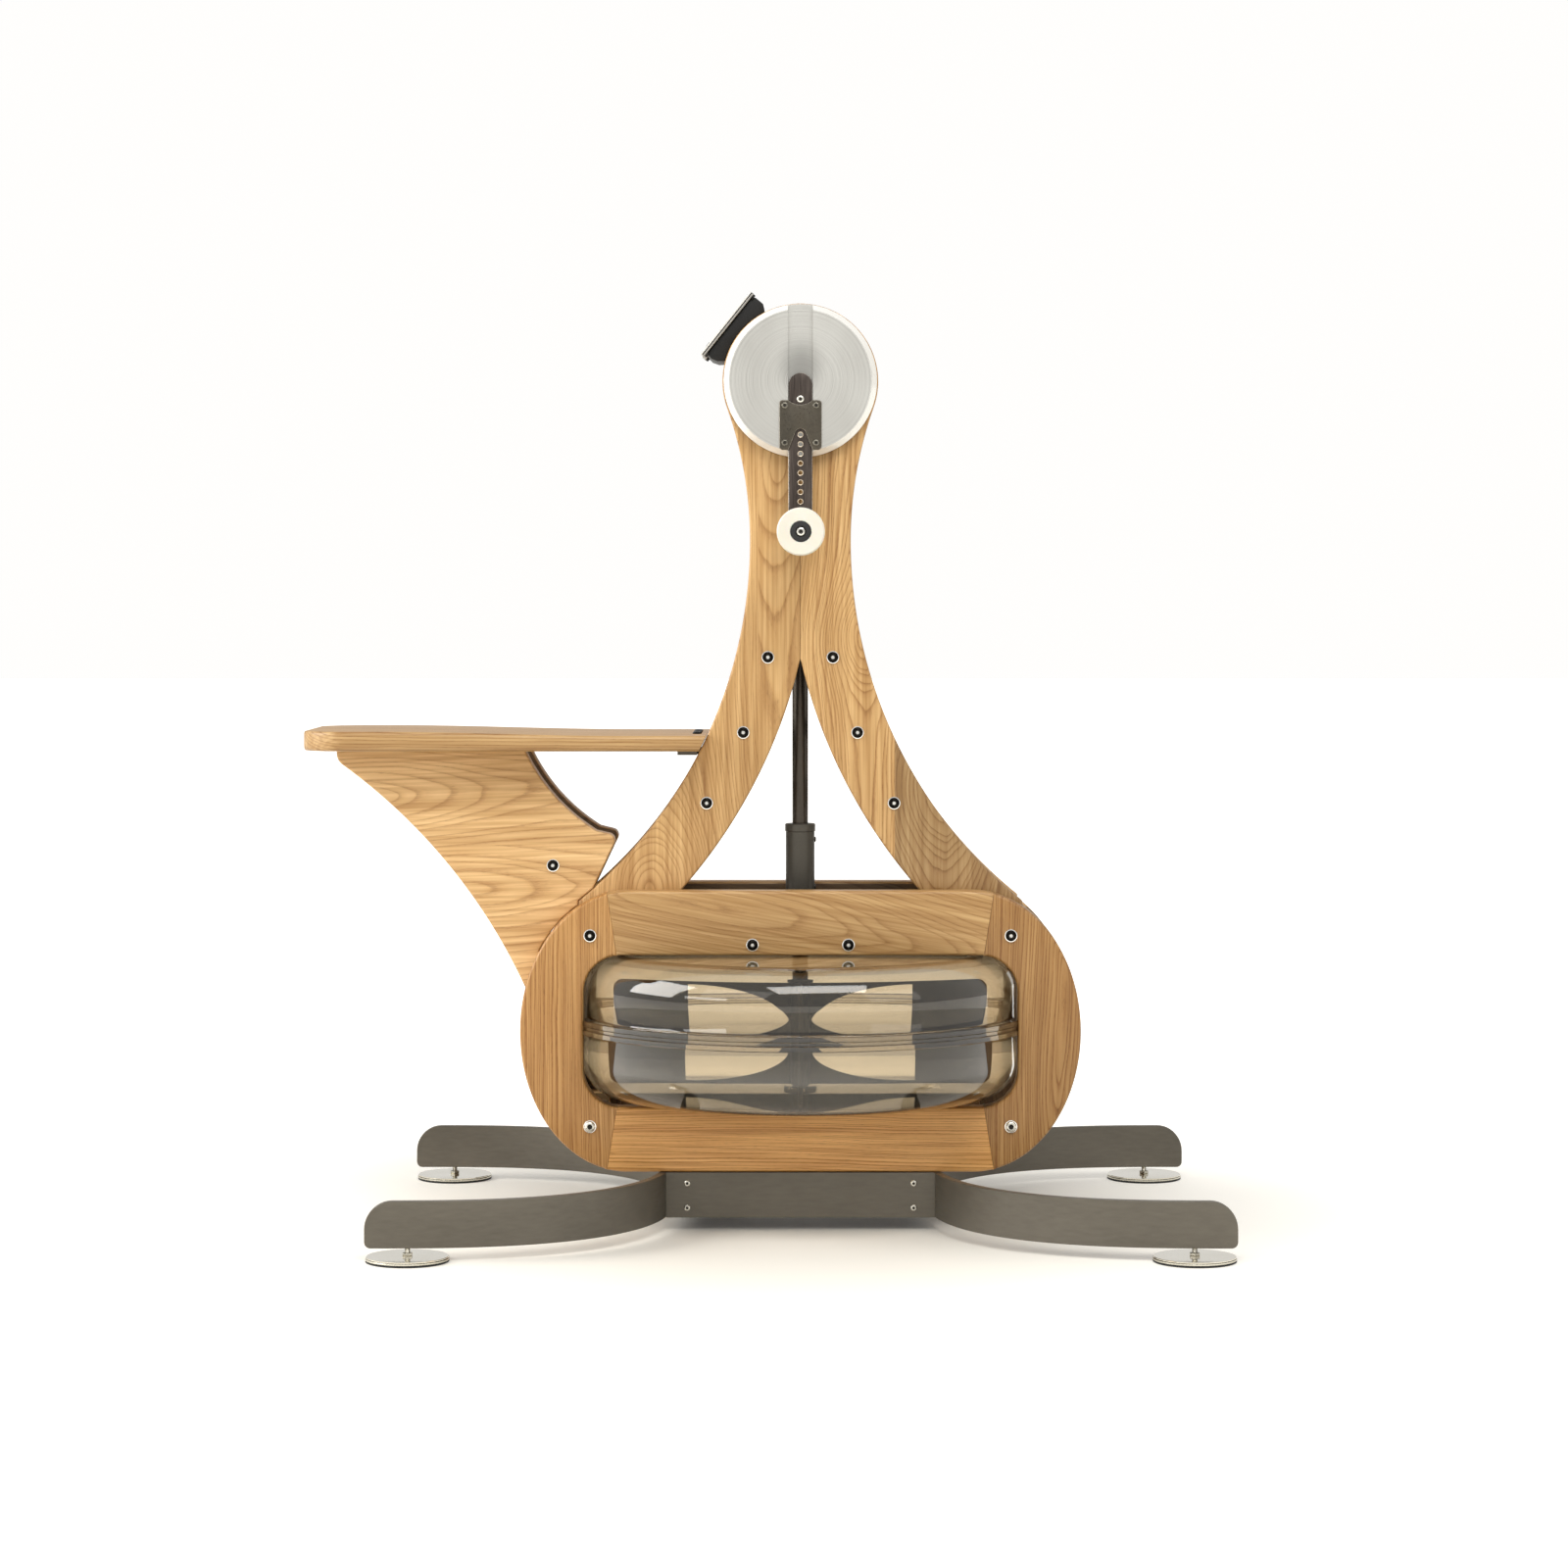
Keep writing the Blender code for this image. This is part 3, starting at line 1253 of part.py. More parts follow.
def clamp_outline():
    """The plate over the channel: a dip in its top edge and an arch in its bottom edge."""
    half, corner = CLAMP_HALF_WIDTH, CLAMP_CORNER
    top, bottom = CLAMP_TOP - CRANK_HEIGHT, CLAMP_BOTTOM - CRANK_HEIGHT
    dip_radius = (CLAMP_DIP_HALF_WIDTH**2 + CLAMP_DIP**2) / (2 * CLAMP_DIP)
    spread = degrees(asin(CLAMP_DIP_HALF_WIDTH / dip_radius))
    dip_centre = (0, top - CLAMP_DIP + dip_radius)
    arch_top = CLAMP_ARCH_TOP - CRANK_HEIGHT
    arch_centre = (0, arch_top - CLAMP_ARCH_RADIUS)
    outline = arc((half - corner, bottom + corner), corner, -90, 0, 3)
    outline += arc((half - corner, top - corner), corner, 0, 90, 3)
    outline += arc(dip_centre, dip_radius, -90 + spread, -90 - spread, 8)
    outline += arc((-half + corner, top - corner), corner, 90, 180, 3)
    outline += arc((-half + corner, bottom + corner), corner, 180, 270, 3)
    outline.append((-ARM_WIDTH / 2, bottom))
    outline += arc(arch_centre, CLAMP_ARCH_RADIUS, 165, 15, 8)
    outline.append((ARM_WIDTH / 2, bottom))
    return outline


def clamp_plate(where, side):
    y = side * (DISC_FACE + GAP + CLAMP_THICKNESS / 2)
    prism(
        f"clamp_plate_{where}",
        [clamp_outline()],
        CLAMP_THICKNESS,
        "XZ",
        (0, y, CRANK_HEIGHT),
        grey_steel(),
    )


def grip(where, side):
    """The spool-shaped handle that spins on the arm's pin."""
    bore = PIN_RADIUS + GAP
    recess = GRIP_CAP_RADIUS + GAP
    floor = GRIP_LENGTH - GRIP_CAP_THICKNESS - GAP
    end, waist, shoulder = GRIP_END_RADIUS, GRIP_WAIST_RADIUS, GRIP_INNER_RADIUS
    profile = [
        (recess, GRIP_LENGTH),
        (end - GRIP_EDGE, GRIP_LENGTH),
        (end, GRIP_LENGTH - GRIP_EDGE),
        (end, GRIP_LENGTH - GRIP_RIM),
        (GRIP_FLARE_RADIUS, GRIP_LENGTH - GRIP_FLARE),
        (waist, GRIP_LENGTH - GRIP_WAIST),
        (waist + GRIP_BELLY, GRIP_LENGTH / 2),
        (waist, GRIP_WAIST),
        (GRIP_SHOULDER_RADIUS, GRIP_SHOULDER_END),
        (shoulder, GRIP_SHOULDER),
        (shoulder, GRIP_EDGE),
        (shoulder - GRIP_EDGE, 0),
        (bore, 0),
        (bore, floor),
        (recess, floor),
    ]
    axis = "-Y" if side < 0 else "+Y"
    at = (0, side * GRIP_START, GRIP_HEIGHT)
    turned(f"grip_{where}", profile, axis, at, ivory_plastic(), 24)


def cranks():
    for where, side in (("front", -1), ("rear", 1)):
        crank_disc(where, side)
        crank_arm(where, side)
        clamp_plate(where, side)
        grip(where, side)


# Monitor


def screen_frame():
    """Middle, length and tilt of the screen plate, from its two ends in the side view."""
    run = SCREEN_UPPER_END[0] - SCREEN_LOWER_END[0]
    rise = SCREEN_UPPER_END[1] - SCREEN_LOWER_END[1]
    middle = [(a + b) / 2 for a, b in zip(SCREEN_LOWER_END, SCREEN_UPPER_END)]
    return middle, hypot(run, rise), atan2(rise, run)


def on_screen(along, out):
    """A side-view point given by its distance up the screen and its height off its face."""
    middle, _, tilt = screen_frame()
    x = middle[0] + along * cos(tilt) - out * sin(tilt)
    return x, middle[1] + along * sin(tilt) + out * cos(tilt)


def monitor():
    """A screen plate with push buttons on a body that fits round the head."""
    _, length, tilt = screen_frame()
    half = length / 2
    back = -SCREEN_THICKNESS - GAP
    arc_radius = HEAD_RADIUS + 2 * GAP
    outline = [on_screen(-half + BODY_INSET, back), *BODY_HEEL]
    outline += arc((0, CRANK_HEIGHT), arc_radius, BODY_ARC_DEGREES[1], BODY_ARC_DEGREES[0], 8)
    outline += [*BODY_SHOULDER, on_screen(half - BODY_INSET, back)]
    prism("monitor_body", [outline], 2 * BODY_HALF_WIDTH, "XZ", (0, 0, 0), black_plastic())
    face = rounded_box((-half, -SCREEN_HALF_WIDTH), (half, SCREEN_HALF_WIDTH), (SCREEN_CORNER,) * 4)
    row = -half + BUTTON_FROM_END
    spots = {"left": -BUTTON_SPACING, "middle": 0, "right": BUTTON_SPACING}
    holes = [circle((row, y), BUTTON_RADIUS + GAP, 16) for y in spots.values()]
    x, z = on_screen(0, -SCREEN_THICKNESS / 2)
    loops = [face] + holes
    plate = prism("monitor_screen", loops, SCREEN_THICKNESS, "XY", (x, 0, z), black_plastic())
    plate.rotation_euler = (0, -tilt, 0)
    for name, y in spots.items():
        x, z = on_screen(row, -BUTTON_BURIED)
        height = BUTTON_BURIED + BUTTON_PROUD
        button = rod(f"button_{name}", BUTTON_RADIUS, height, "+Z", (x, y, z), black_rubber(), 16)
        button.rotation_euler = (0, -tilt, 0)


base()
ring_frames()
frame_halves()
frame_bolts()
seat()
tank()
drive()
cranks()
monitor()
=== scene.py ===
import bmesh
import bpy
import numpy as np
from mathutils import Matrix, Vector
from mathutils.geometry import tessellate_polygon


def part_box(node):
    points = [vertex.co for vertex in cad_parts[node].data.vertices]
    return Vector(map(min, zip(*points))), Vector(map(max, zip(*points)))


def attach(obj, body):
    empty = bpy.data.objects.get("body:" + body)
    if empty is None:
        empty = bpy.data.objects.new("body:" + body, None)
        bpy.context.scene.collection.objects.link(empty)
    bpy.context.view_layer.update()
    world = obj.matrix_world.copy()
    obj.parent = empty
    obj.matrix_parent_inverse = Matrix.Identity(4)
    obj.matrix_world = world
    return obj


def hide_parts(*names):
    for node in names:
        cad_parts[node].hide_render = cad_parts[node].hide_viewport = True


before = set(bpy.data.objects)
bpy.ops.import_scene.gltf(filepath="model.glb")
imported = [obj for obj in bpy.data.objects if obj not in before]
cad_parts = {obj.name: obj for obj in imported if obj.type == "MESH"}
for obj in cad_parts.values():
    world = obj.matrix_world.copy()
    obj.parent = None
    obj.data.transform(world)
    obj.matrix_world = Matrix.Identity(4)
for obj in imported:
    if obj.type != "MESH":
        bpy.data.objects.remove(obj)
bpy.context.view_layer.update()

# The machine stands round one upright shaft, and its boards, cranks and feet are all laid out
# from that shaft's axis. The shaft's own solid says where the axis is.
shaft_low, shaft_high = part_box("drive_shaft")
axis_x = (shaft_low.x + shaft_high.x) / 2
ends, hands = (("front", -1), ("rear", 1)), (("left", -1), ("right", 1))


# Levelling feet: a pressed bright steel disc on a thin black rubber sheet, with a threaded stud
# that goes up through a hexagon nut into a hole in the underside of the base strip.
def body_of_faces(name, points, faces, rounded, finish, body, slot, stands_for=None, sharp=38.0):
    """A closed mesh of points and faces, of which the first, rounded ones are shaded smooth.

    Edges that turn by more than the sharp angle, in degrees, stay crisp. The piece hides the
    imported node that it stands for.
    """
    mesh = bpy.data.meshes.new(name)
    mesh.from_pydata(points.tolist(), [], faces)
    mesh.polygons.foreach_set("use_smooth", np.arange(len(faces)) < rounded)
    shape = bmesh.new()
    shape.from_mesh(mesh)
    bmesh.ops.remove_doubles(shape, verts=shape.verts, dist=1e-6)
    bmesh.ops.recalc_face_normals(shape, faces=shape.faces)
    shape.to_mesh(mesh)
    shape.free()
    mesh.set_sharp_from_angle(angle=np.radians(sharp))
    made = bpy.data.objects.new(name, mesh)
    bpy.context.scene.collection.objects.link(made)
    mesh.materials.append(finish)
    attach(made, body)
    if stands_for:
        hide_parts(stands_for)
    return made


def quads_between(rows, columns):
    """The quads between the neighbouring points of a grid whose rows close on themselves."""
    number = np.arange(rows * columns).reshape(rows, columns)
    number = np.concatenate([number, number[:, :1]], axis=1)
    corners = (number[:-1, :-1], number[:-1, 1:], number[1:, 1:], number[1:, :-1])
    return np.stack([corner.ravel() for corner in corners], axis=1).tolist()


def skin(name, grid, *looks, closed=False, **settings):
    """A mesh whose point (i, j) is grid[i, j]. A row whose points coincide becomes a pole.

    Where it is closed, the first and the last row each get a flat face.
    """
    rows, columns = grid.shape[:2]
    faces = quads_between(rows, columns)
    rounded = len(faces)
    if closed:
        faces += [list(range(columns)), list(range((rows - 1) * columns, rows * columns))]
    return body_of_faces(name, grid.reshape(-1, 3), faces, rounded, *looks, **settings)


def turned(name, profile, start, direction, *looks, sides=96, lobes=None):
    """A profile of (radius, height) rows, in millimetres, swept once round a line.

    Point (i, t) is start + height_i * out + radius_i * reach_i(t) * (first * cos t + second *
    sin t), with out along the line and the other two square to it. Where lobes is given, rows
    past its first number are pulled in: reach(t) = 1 - depth * |sin(count * t / 2)|.
    """
    out = np.array(direction, float) / np.linalg.norm(direction)
    first = np.cross(out, (0.0, 0.0, 1.0) if abs(out[2]) < 0.9 else (1.0, 0.0, 0.0))
    first /= np.linalg.norm(first)
    second = np.cross(out, first)
    profile = np.array(profile, float) / 1000
    turn = np.linspace(0, 2 * np.pi, sides, endpoint=False)
    reach = np.ones((len(profile), sides))
    if lobes:
        row, count, depth = lobes
        reach[row:] = 1 - depth * np.abs(np.sin(count * turn / 2))
    spoke = profile[:, :1] * reach
    across = np.cos(turn)[:, None] * first + np.sin(turn)[:, None] * second
    grid = np.array(start) + profile[:, 1, None, None] * out + spoke[:, :, None] * across
    return skin(name, grid, *looks)


def screen_colour(red, green, blue):
    """A colour as a screen shows it, 0 to 255, as the linear numbers that a shader takes."""
    share = np.array([red, green, blue]) / 255
    linear = np.where(share <= 0.04045, share / 12.92, ((share + 0.055) / 1.055) ** 2.4)
    return (*linear.tolist(), 1.0)


def node_maker(tree):
    """A function that adds a node to a tree. Its inputs are values or other nodes' outputs."""

    def node(kind, inputs=None, **settings):
        added = tree.nodes.new("ShaderNode" + kind)
        for key, value in settings.items():
            setattr(added, key, value)
        for key, value in (inputs or {}).items():
            if isinstance(value, bpy.types.NodeSocket):
                tree.links.new(value, added.inputs[key])
            else:
                added.inputs[key].default_value = value
        return added

    return node


def finish_nodes(name, **fixed):
    """A material with its shader's fixed values set, a maker of nodes, and one that feeds it."""
    made = bpy.data.materials.new(name)
    made.use_nodes = True
    tree = made.node_tree
    shader = tree.nodes["Principled BSDF"]
    for key, value in fixed.items():
        shader.inputs[key.replace("_", " ")].default_value = value

    def feed(key, socket):
        tree.links.new(socket, shader.inputs[key])

    return made, node_maker(tree), feed


def scaled_place(node, scale, shift=0.0):
    """Object coordinates, moved and then stretched by a scale."""
    scale, shift = np.broadcast_to(scale, 3), np.broadcast_to(shift, 3)
    place = {"Vector": node("TexCoord").outputs["Object"], "Scale": scale.tolist(),
             "Location": (scale * shift).tolist()}
    return node("Mapping", place).outputs["Vector"]


def noise(node, scale, size=1.0, detail=1.0):
    """Noise in Object coordinates, drawn out by a scale."""
    wants = {"Vector": scaled_place(node, scale), "Scale": size, "Detail": detail}
    return node("TexNoise", wants).outputs["Fac"]


def ramp(node, factor, *stops):
    """A colour ramp through (place, screen colour) stops."""
    made = node("ValToRGB", {"Fac": factor})
    band = made.color_ramp.elements
    for held, (position, colour) in zip(band, (stops[0], stops[-1])):
        held.position, held.color = position, screen_colour(*colour)
    for position, colour in stops[1:-1]:
        band.new(position).color = screen_colour(*colour)
    return made.outputs["Color"]


def relief(node, feed, height, strength, depth):
    """A fine bump that follows a height, to a depth in millimetres."""
    bump = node("Bump", {"Height": height, "Strength": strength, "Distance": depth / 1000})
    feed("Normal", bump.outputs["Normal"])


def steel(name, dark, light, roughness, metallic, cloud=60, grain=60, depth=0.04, spread=0.12):
    """Metal with a cloudy tone between two colours, a finer brushed tone and a bump to match.

    Cloud and grain are the tones' scales along x, y and z, and spread is how far the roughness
    strays. The bump's depth is in millimetres.
    """
    made, node, feed = finish_nodes(name, Roughness=roughness, Metallic=metallic)
    clouds, brush = noise(node, cloud, 1.0, 3.0), noise(node, grain, 10.0, 4.0)
    tone = node("Mix", {"Factor": 0.35, 2: clouds, 3: brush}, data_type="FLOAT")
    feed("Base Color", ramp(node, tone.outputs[0], (0.3, dark), (0.7, light)))
    rough = node("MapRange", {"Value": brush, "From Min": 0.3, "From Max": 0.7,
                              "To Min": roughness - spread, "To Max": roughness + spread})
    feed("Roughness", rough.outputs["Result"])
    relief(node, feed, brush, 0.5, depth)
    return made


def black_rubber(name, tone, **fixed):
    """Matt black rubber: one dark colour with a fine grain of tone and bump."""
    made, node, feed = finish_nodes(name, **{"Roughness": 0.75, **fixed})
    grain = noise(node, 1, 900.0, 2.0)
    feed("Base Color", ramp(node, grain, (0.3, (tone, tone, tone - 1)),
                            (0.7, (tone + 14, tone + 13, tone + 11))))
    relief(node, feed, grain, 0.4, 0.05)
    return made


bright_steel = steel("bright_pressed_steel", (198, 193, 178), (240, 236, 222), 0.26, 1.0,
                     (18, 18, 40))
polished_steel = steel("polished_foot_disc", (236, 230, 213), (252, 248, 236), 0.10, 1.0,
                       (18, 18, 40), 30, 0.01, 0.04)
zinc_steel = steel("zinc_plated_thread", (160, 156, 145), (216, 212, 200), 0.32, 1.0)
# A dark finish painted as shade into the feet's narrow grooves and the screws' sockets.
recess_shade_steel = steel("painted_shade_recess", (40, 37, 32), (62, 58, 51), 0.5, 0.6)
pad_rubber = black_rubber("pad_rubber", 14)
flange_low, flange_high, disc_low, disc_high, nut_high = 2.3, 4.2, 4.6, 6.4, 9.9
nut = [(0, disc_high), (5.2, disc_high), (5.9, disc_high + 0.5), (5.9, nut_high - 0.5),
       (5.2, nut_high), (0, nut_high)]
for end, _ in ends:
    for hand, _ in hands:
        foot = f"foot_{end}_{hand}"
        low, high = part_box(foot)
        centre = ((low.x + high.x) / 2, (low.y + high.y) / 2, 0)
        rim, stud_top = 500 * (high.x - low.x), 1000 * high.z
        sheet = [(0, 0), (rim - 1.2, 0), (rim - 0.2, 0.6), (rim - 0.2, flange_low), (0, flange_low)]
        flange = [(0, flange_low), (rim - 0.4, flange_low), (rim, flange_low + 0.4),
                  (rim, flange_high - 0.4), (rim - 0.4, flange_high), (0, flange_high)]
        groove = [(0, flange_high - 0.1), (rim - 1.1, flange_high - 0.1),
                  (rim - 1.1, disc_low + 0.1), (0, disc_low + 0.1)]
        disc = [(0, disc_low), (rim - 1.0, disc_low), (rim - 0.6, disc_low + 0.4), (rim - 0.6, 5.6),
                (rim - 1.2, 6.1), (12, disc_high), (0, disc_high)]
        # The thread is a ridged rod, 3 mm in radius, with ten ridges in each centimetre.
        height = np.linspace(6.0, stud_top, 290)
        ridge = 3.0 - 0.26 * (0.5 + 0.5 * np.cos(2 * np.pi * height))
        rod = [(0, 6.0), *zip(ridge, height), (0, stud_top)]
        for part, profile, finish, sides in (
                ("rubber", sheet, pad_rubber, 96), ("flange", flange, bright_steel, 96),
                ("groove", groove, recess_shade_steel, 96), ("disc", disc, polished_steel, 96),
                ("thread", rod, zinc_steel, 20), ("nut", nut, zinc_steel, 48)):
            turned(f"{foot}_{part}", profile, centre, (0, 0, 1), finish, foot, "foot_steel",
                   foot if part == "flange" else None, sides=sides,
                   lobes=(1, 6, 0.13) if part == "nut" else None)


# Base strips: two lengths of flat steel bar bent into wide bows, with a large round at each free
# end's top corner, coated satin grey-bronze. Each end is drilled from below for a foot's stud.
bronze_steel = steel("grey_bronze_coat", (88, 83, 73), (112, 106, 95), 0.42, 0.35,
                     (5, 5, 9), (6, 6, 26), 0.05, 0.07)
strip_low, strip_high, tip_top_round, tip_bottom_round = 0.0145, 0.0655, 0.030, 0.0065
bow_reach, bow_apex, bow_half_width, bow_straight = 0.4725, 0.1505, 0.3035, 0.450


def bow_path():
    """The strip's middle line in plan, from the front tip round the apex to the rear tip.

    x = straight - length * cos(t)^0.8 and y = half width * sin(t)^0.8, with straight ends.
    """
    turn = np.linspace(-np.pi / 2, np.pi / 2, 181)
    x = bow_straight - (bow_straight - bow_apex) * np.abs(np.cos(turn)) ** 0.8
    y = bow_half_width * np.sign(turn) * np.abs(np.sin(turn)) ** 0.8
    tip = bow_reach - tip_top_round * (1 - np.sin(np.linspace(0, np.pi / 2, 14)[::-1]))
    lead = np.stack([tip, np.full(14, -bow_half_width)], axis=1)
    middle = np.stack([x, y], axis=1)[x < lead[-1, 0] - 0.002]
    return np.concatenate([lead, middle, lead[::-1] * (1, -1)])


path = bow_path()
ahead = np.gradient(path, axis=0)
ahead /= np.linalg.norm(ahead, axis=1)[:, None]
across = np.stack([ahead[:, 1], -ahead[:, 0]], axis=1)
past_top = np.clip(path[:, 0] - (bow_reach - tip_top_round), 0, tip_top_round)
past_low = np.clip(path[:, 0] - (bow_reach - tip_bottom_round), 0, tip_bottom_round)
top = strip_high - tip_top_round + np.sqrt(tip_top_round**2 - past_top**2)
low = strip_low + tip_bottom_round - np.sqrt(tip_bottom_round**2 - past_low**2)
# The section is a 9 mm wide rectangle with small rounds, whose height follows the tip's corners.
# Each point is its millimetres across, its share of the height and the millimetres added to it.
section = np.array([(-4.5, 0, 0.7), (-3.8, 0, 0), (3.8, 0, 0), (4.5, 0, 0.7),
                    (4.5, 1, -0.7), (3.8, 1, 0), (-3.8, 1, 0), (-4.5, 1, -0.7)])
width, share, lift = (section * (0.001, 1, 0.001)).T
height = low[:, None] * (1 - share) + top[:, None] * share + lift
plan = path[:, None] + across[:, None] * width[None, :, None]
for hand, side in hands:
    grid = np.stack([axis_x + side * plan[..., 0], plan[..., 1], height], axis=-1)
    skin(f"bow_strip_{hand}", grid, bronze_steel, "frame", "base_steel", f"base_bow_{hand}",
         closed=True)


# Cross beams: folded steel channels between the bows, the front one and the rear one, screwed
# to tabs behind their ends with two bright pan-head screws each. The ring frames stand on them.
def screw(name, centre, direction, size, count, finish, body, slot):
    """A domed head with a lobed socket, of a size (radius, height, socket's radius) in mm.

    Rows run from the seat, over the dome, into the socket, whose walls are darkened as painted
    shade.
    """
    radius, height, socket = size
    dome = [(0, 0), (radius, 0), (radius, 0.35 * height), (0.93 * radius, 0.68 * height),
            (0.78 * radius, 0.88 * height), (0.6 * radius, height), (socket * 1.12, height)]
    well = [(socket, 0.93 * height), (socket * 0.94, 0.35 * height), (0, 0.30 * height)]
    lobes = (len(dome), count, 0.13 if count == 6 else 0.62)
    made = turned(name, dome + well, centre, direction, finish, body, slot, sides=48, lobes=lobes)
    middles = np.zeros(3 * len(made.data.polygons))
    made.data.polygons.foreach_get("center", middles)
    offset, line = 1000 * (middles.reshape(-1, 3) - np.array(centre)), np.array(direction, float)
    along = offset @ line
    out = np.linalg.norm(offset - along[:, None] * line, axis=1)
    inside = (along < 0.97 * height) & (along > 0.1 * height) & (out < 1.1 * socket)
    # The socket's walls take the dark finish: painted shade in the recess.
    made.data.materials.append(recess_shade_steel)
    made.data.polygons.foreach_set("material_index", inside.astype(int))


def dress(finish, *names):
    """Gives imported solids, whose shapes are right as they are, their finish."""
    for name in names:
        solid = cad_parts[name]
        if not solid.material_slots:
            solid.data.materials.append(finish)
        for held in solid.material_slots:
            held.material = finish


screw_steel = steel("pan_head_screws", (186, 183, 172), (226, 223, 213), 0.25, 1.0, 120)
beam_screw_x, beam_face = 0.1285, 0.0955
dress(bronze_steel, "base_beam_front", "base_beam_rear")
for end, side in ends:
    for hand, sign in hands:
        for level, z in (("upper", 0.0534), ("lower", 0.0256)):
            screw(f"beam_screw_{end}_{hand}_{level}",
                  (axis_x + sign * beam_screw_x, side * beam_face, z), (0, side, 0),
                  (3.6, 1.6, 1.5), 4, screw_steel, "frame", "base_steel")


# Ring frames: two flat rings of 30 mm ash, one in front of the tank and one behind it. Each is
# glued up from two end boards with upright grain and two rails with level grain, then rounded.
def board(name, outline, edge, low, high, *looks, holes=(), place=None, steps=4):
    """A flat board: a round-edged section carried round an outline, closed by its two faces.

    Row k of the section moves each outline point inwards by inset_k times its own edge radius,
    along the outline's normal there, and to its depth. The section is a quarter circle at each
    edge: inset 1 - sin t at depth 1 - cos t. Holes are straight walls between the faces.
    """
    low, high = sorted((low, high))
    outline = np.array(outline, float)
    following = np.roll(outline, -1, 0)
    if np.sum(outline[:, 0] * following[:, 1] - following[:, 0] * outline[:, 1]) < 0:
        outline = outline[::-1]
        edge = edge[::-1] if np.ndim(edge) else edge
    edge = np.broadcast_to(edge, len(outline)).astype(float)
    after, before = np.roll(outline, -1, 0) - outline, outline - np.roll(outline, 1, 0)
    after /= np.linalg.norm(after, axis=1)[:, None]
    before /= np.linalg.norm(before, axis=1)[:, None]
    normal = (after + before)[:, ::-1] * (1, -1)
    normal *= 2 / np.maximum(np.sum(normal**2, axis=1), 1.0)[:, None]
    turn = np.linspace(0, np.pi / 2, steps + 1)
    inset = np.concatenate([1 - np.sin(turn), 1 - np.cos(turn)])
    depth = np.concatenate([1 - np.cos(turn), np.sin(turn) - 1])
    flat = outline - normal * inset[:, None, None] * edge[:, None]
    depth = np.repeat((low, high), steps + 1)[:, None] + depth[:, None] * edge
    count, rows = len(outline), len(inset)
    loops = [flat[0], *(np.array(hole, float) for hole in holes)]
    points = [np.concatenate([flat, depth[..., None]], axis=-1).reshape(-1, 3)]
    faces = quads_between(rows, count)
    lower, upper = [np.arange(count)], [np.arange(count) + (rows - 1) * count]
    total = rows * count
    for hole in loops[1:]:
        size = len(hole)
        here = np.arange(size) + total
        beside = np.roll(here, -1)
        points += [np.column_stack([hole, np.full(size, depth_of)]) for depth_of in (low, high)]
        faces += np.stack([here, beside, beside + size, here + size], 1).tolist()
        lower.append(here)
        upper.append(here + size)
        total += 2 * size
    rounded = len(faces)
    fill = tessellate_polygon([[Vector((*point, 0)) for point in loop] for loop in loops])
    for side in (np.concatenate(lower), np.concatenate(upper)):
        faces += side[np.array(fill)].tolist()
    points = np.concatenate(points)
    points = place(points) if place else points[:, [0, 2, 1]] + (axis_x, 0, 0)
    return body_of_faces(name, points, faces, rounded, *looks)


def sweep(centre, radius, start, end, count):
    """Points centre + radius * (cos t, sin t) from one angle to another, in degrees."""
    turn = np.radians(np.linspace(start, end, count))
    return np.array(centre) + np.stack([np.cos(turn), np.sin(turn)], axis=1) * radius


def flipped(points):
    """The same outline on the other side of the shaft's axis."""
    return points * (-1, 1)


# A year's ring, as shares of its width and what they add to the board's colour, times contrast.
year_tones = ((0.0, (-6, -9, -11)), (0.05, (-44, -48, -44)), (0.12, (-30, -35, -34)),
              (0.28, (-5, -7, -7)), (0.62, (7, 8, 8)), (0.93, (4, 5, 6)), (1.0, (-6, -9, -11)))
pore_brown, golden_ash, orange_ash = (128, 84, 44), (231, 190, 131), (231, 179, 112)
streaks = (((3, 90, 90), 3.0, 0.32, (222, 212, 198)), ((8, 300, 300), 2.0, 0.35, (226, 216, 200)))
wide_bend, fine_bend = (2.5, 9, 9), (14, 60, 60)


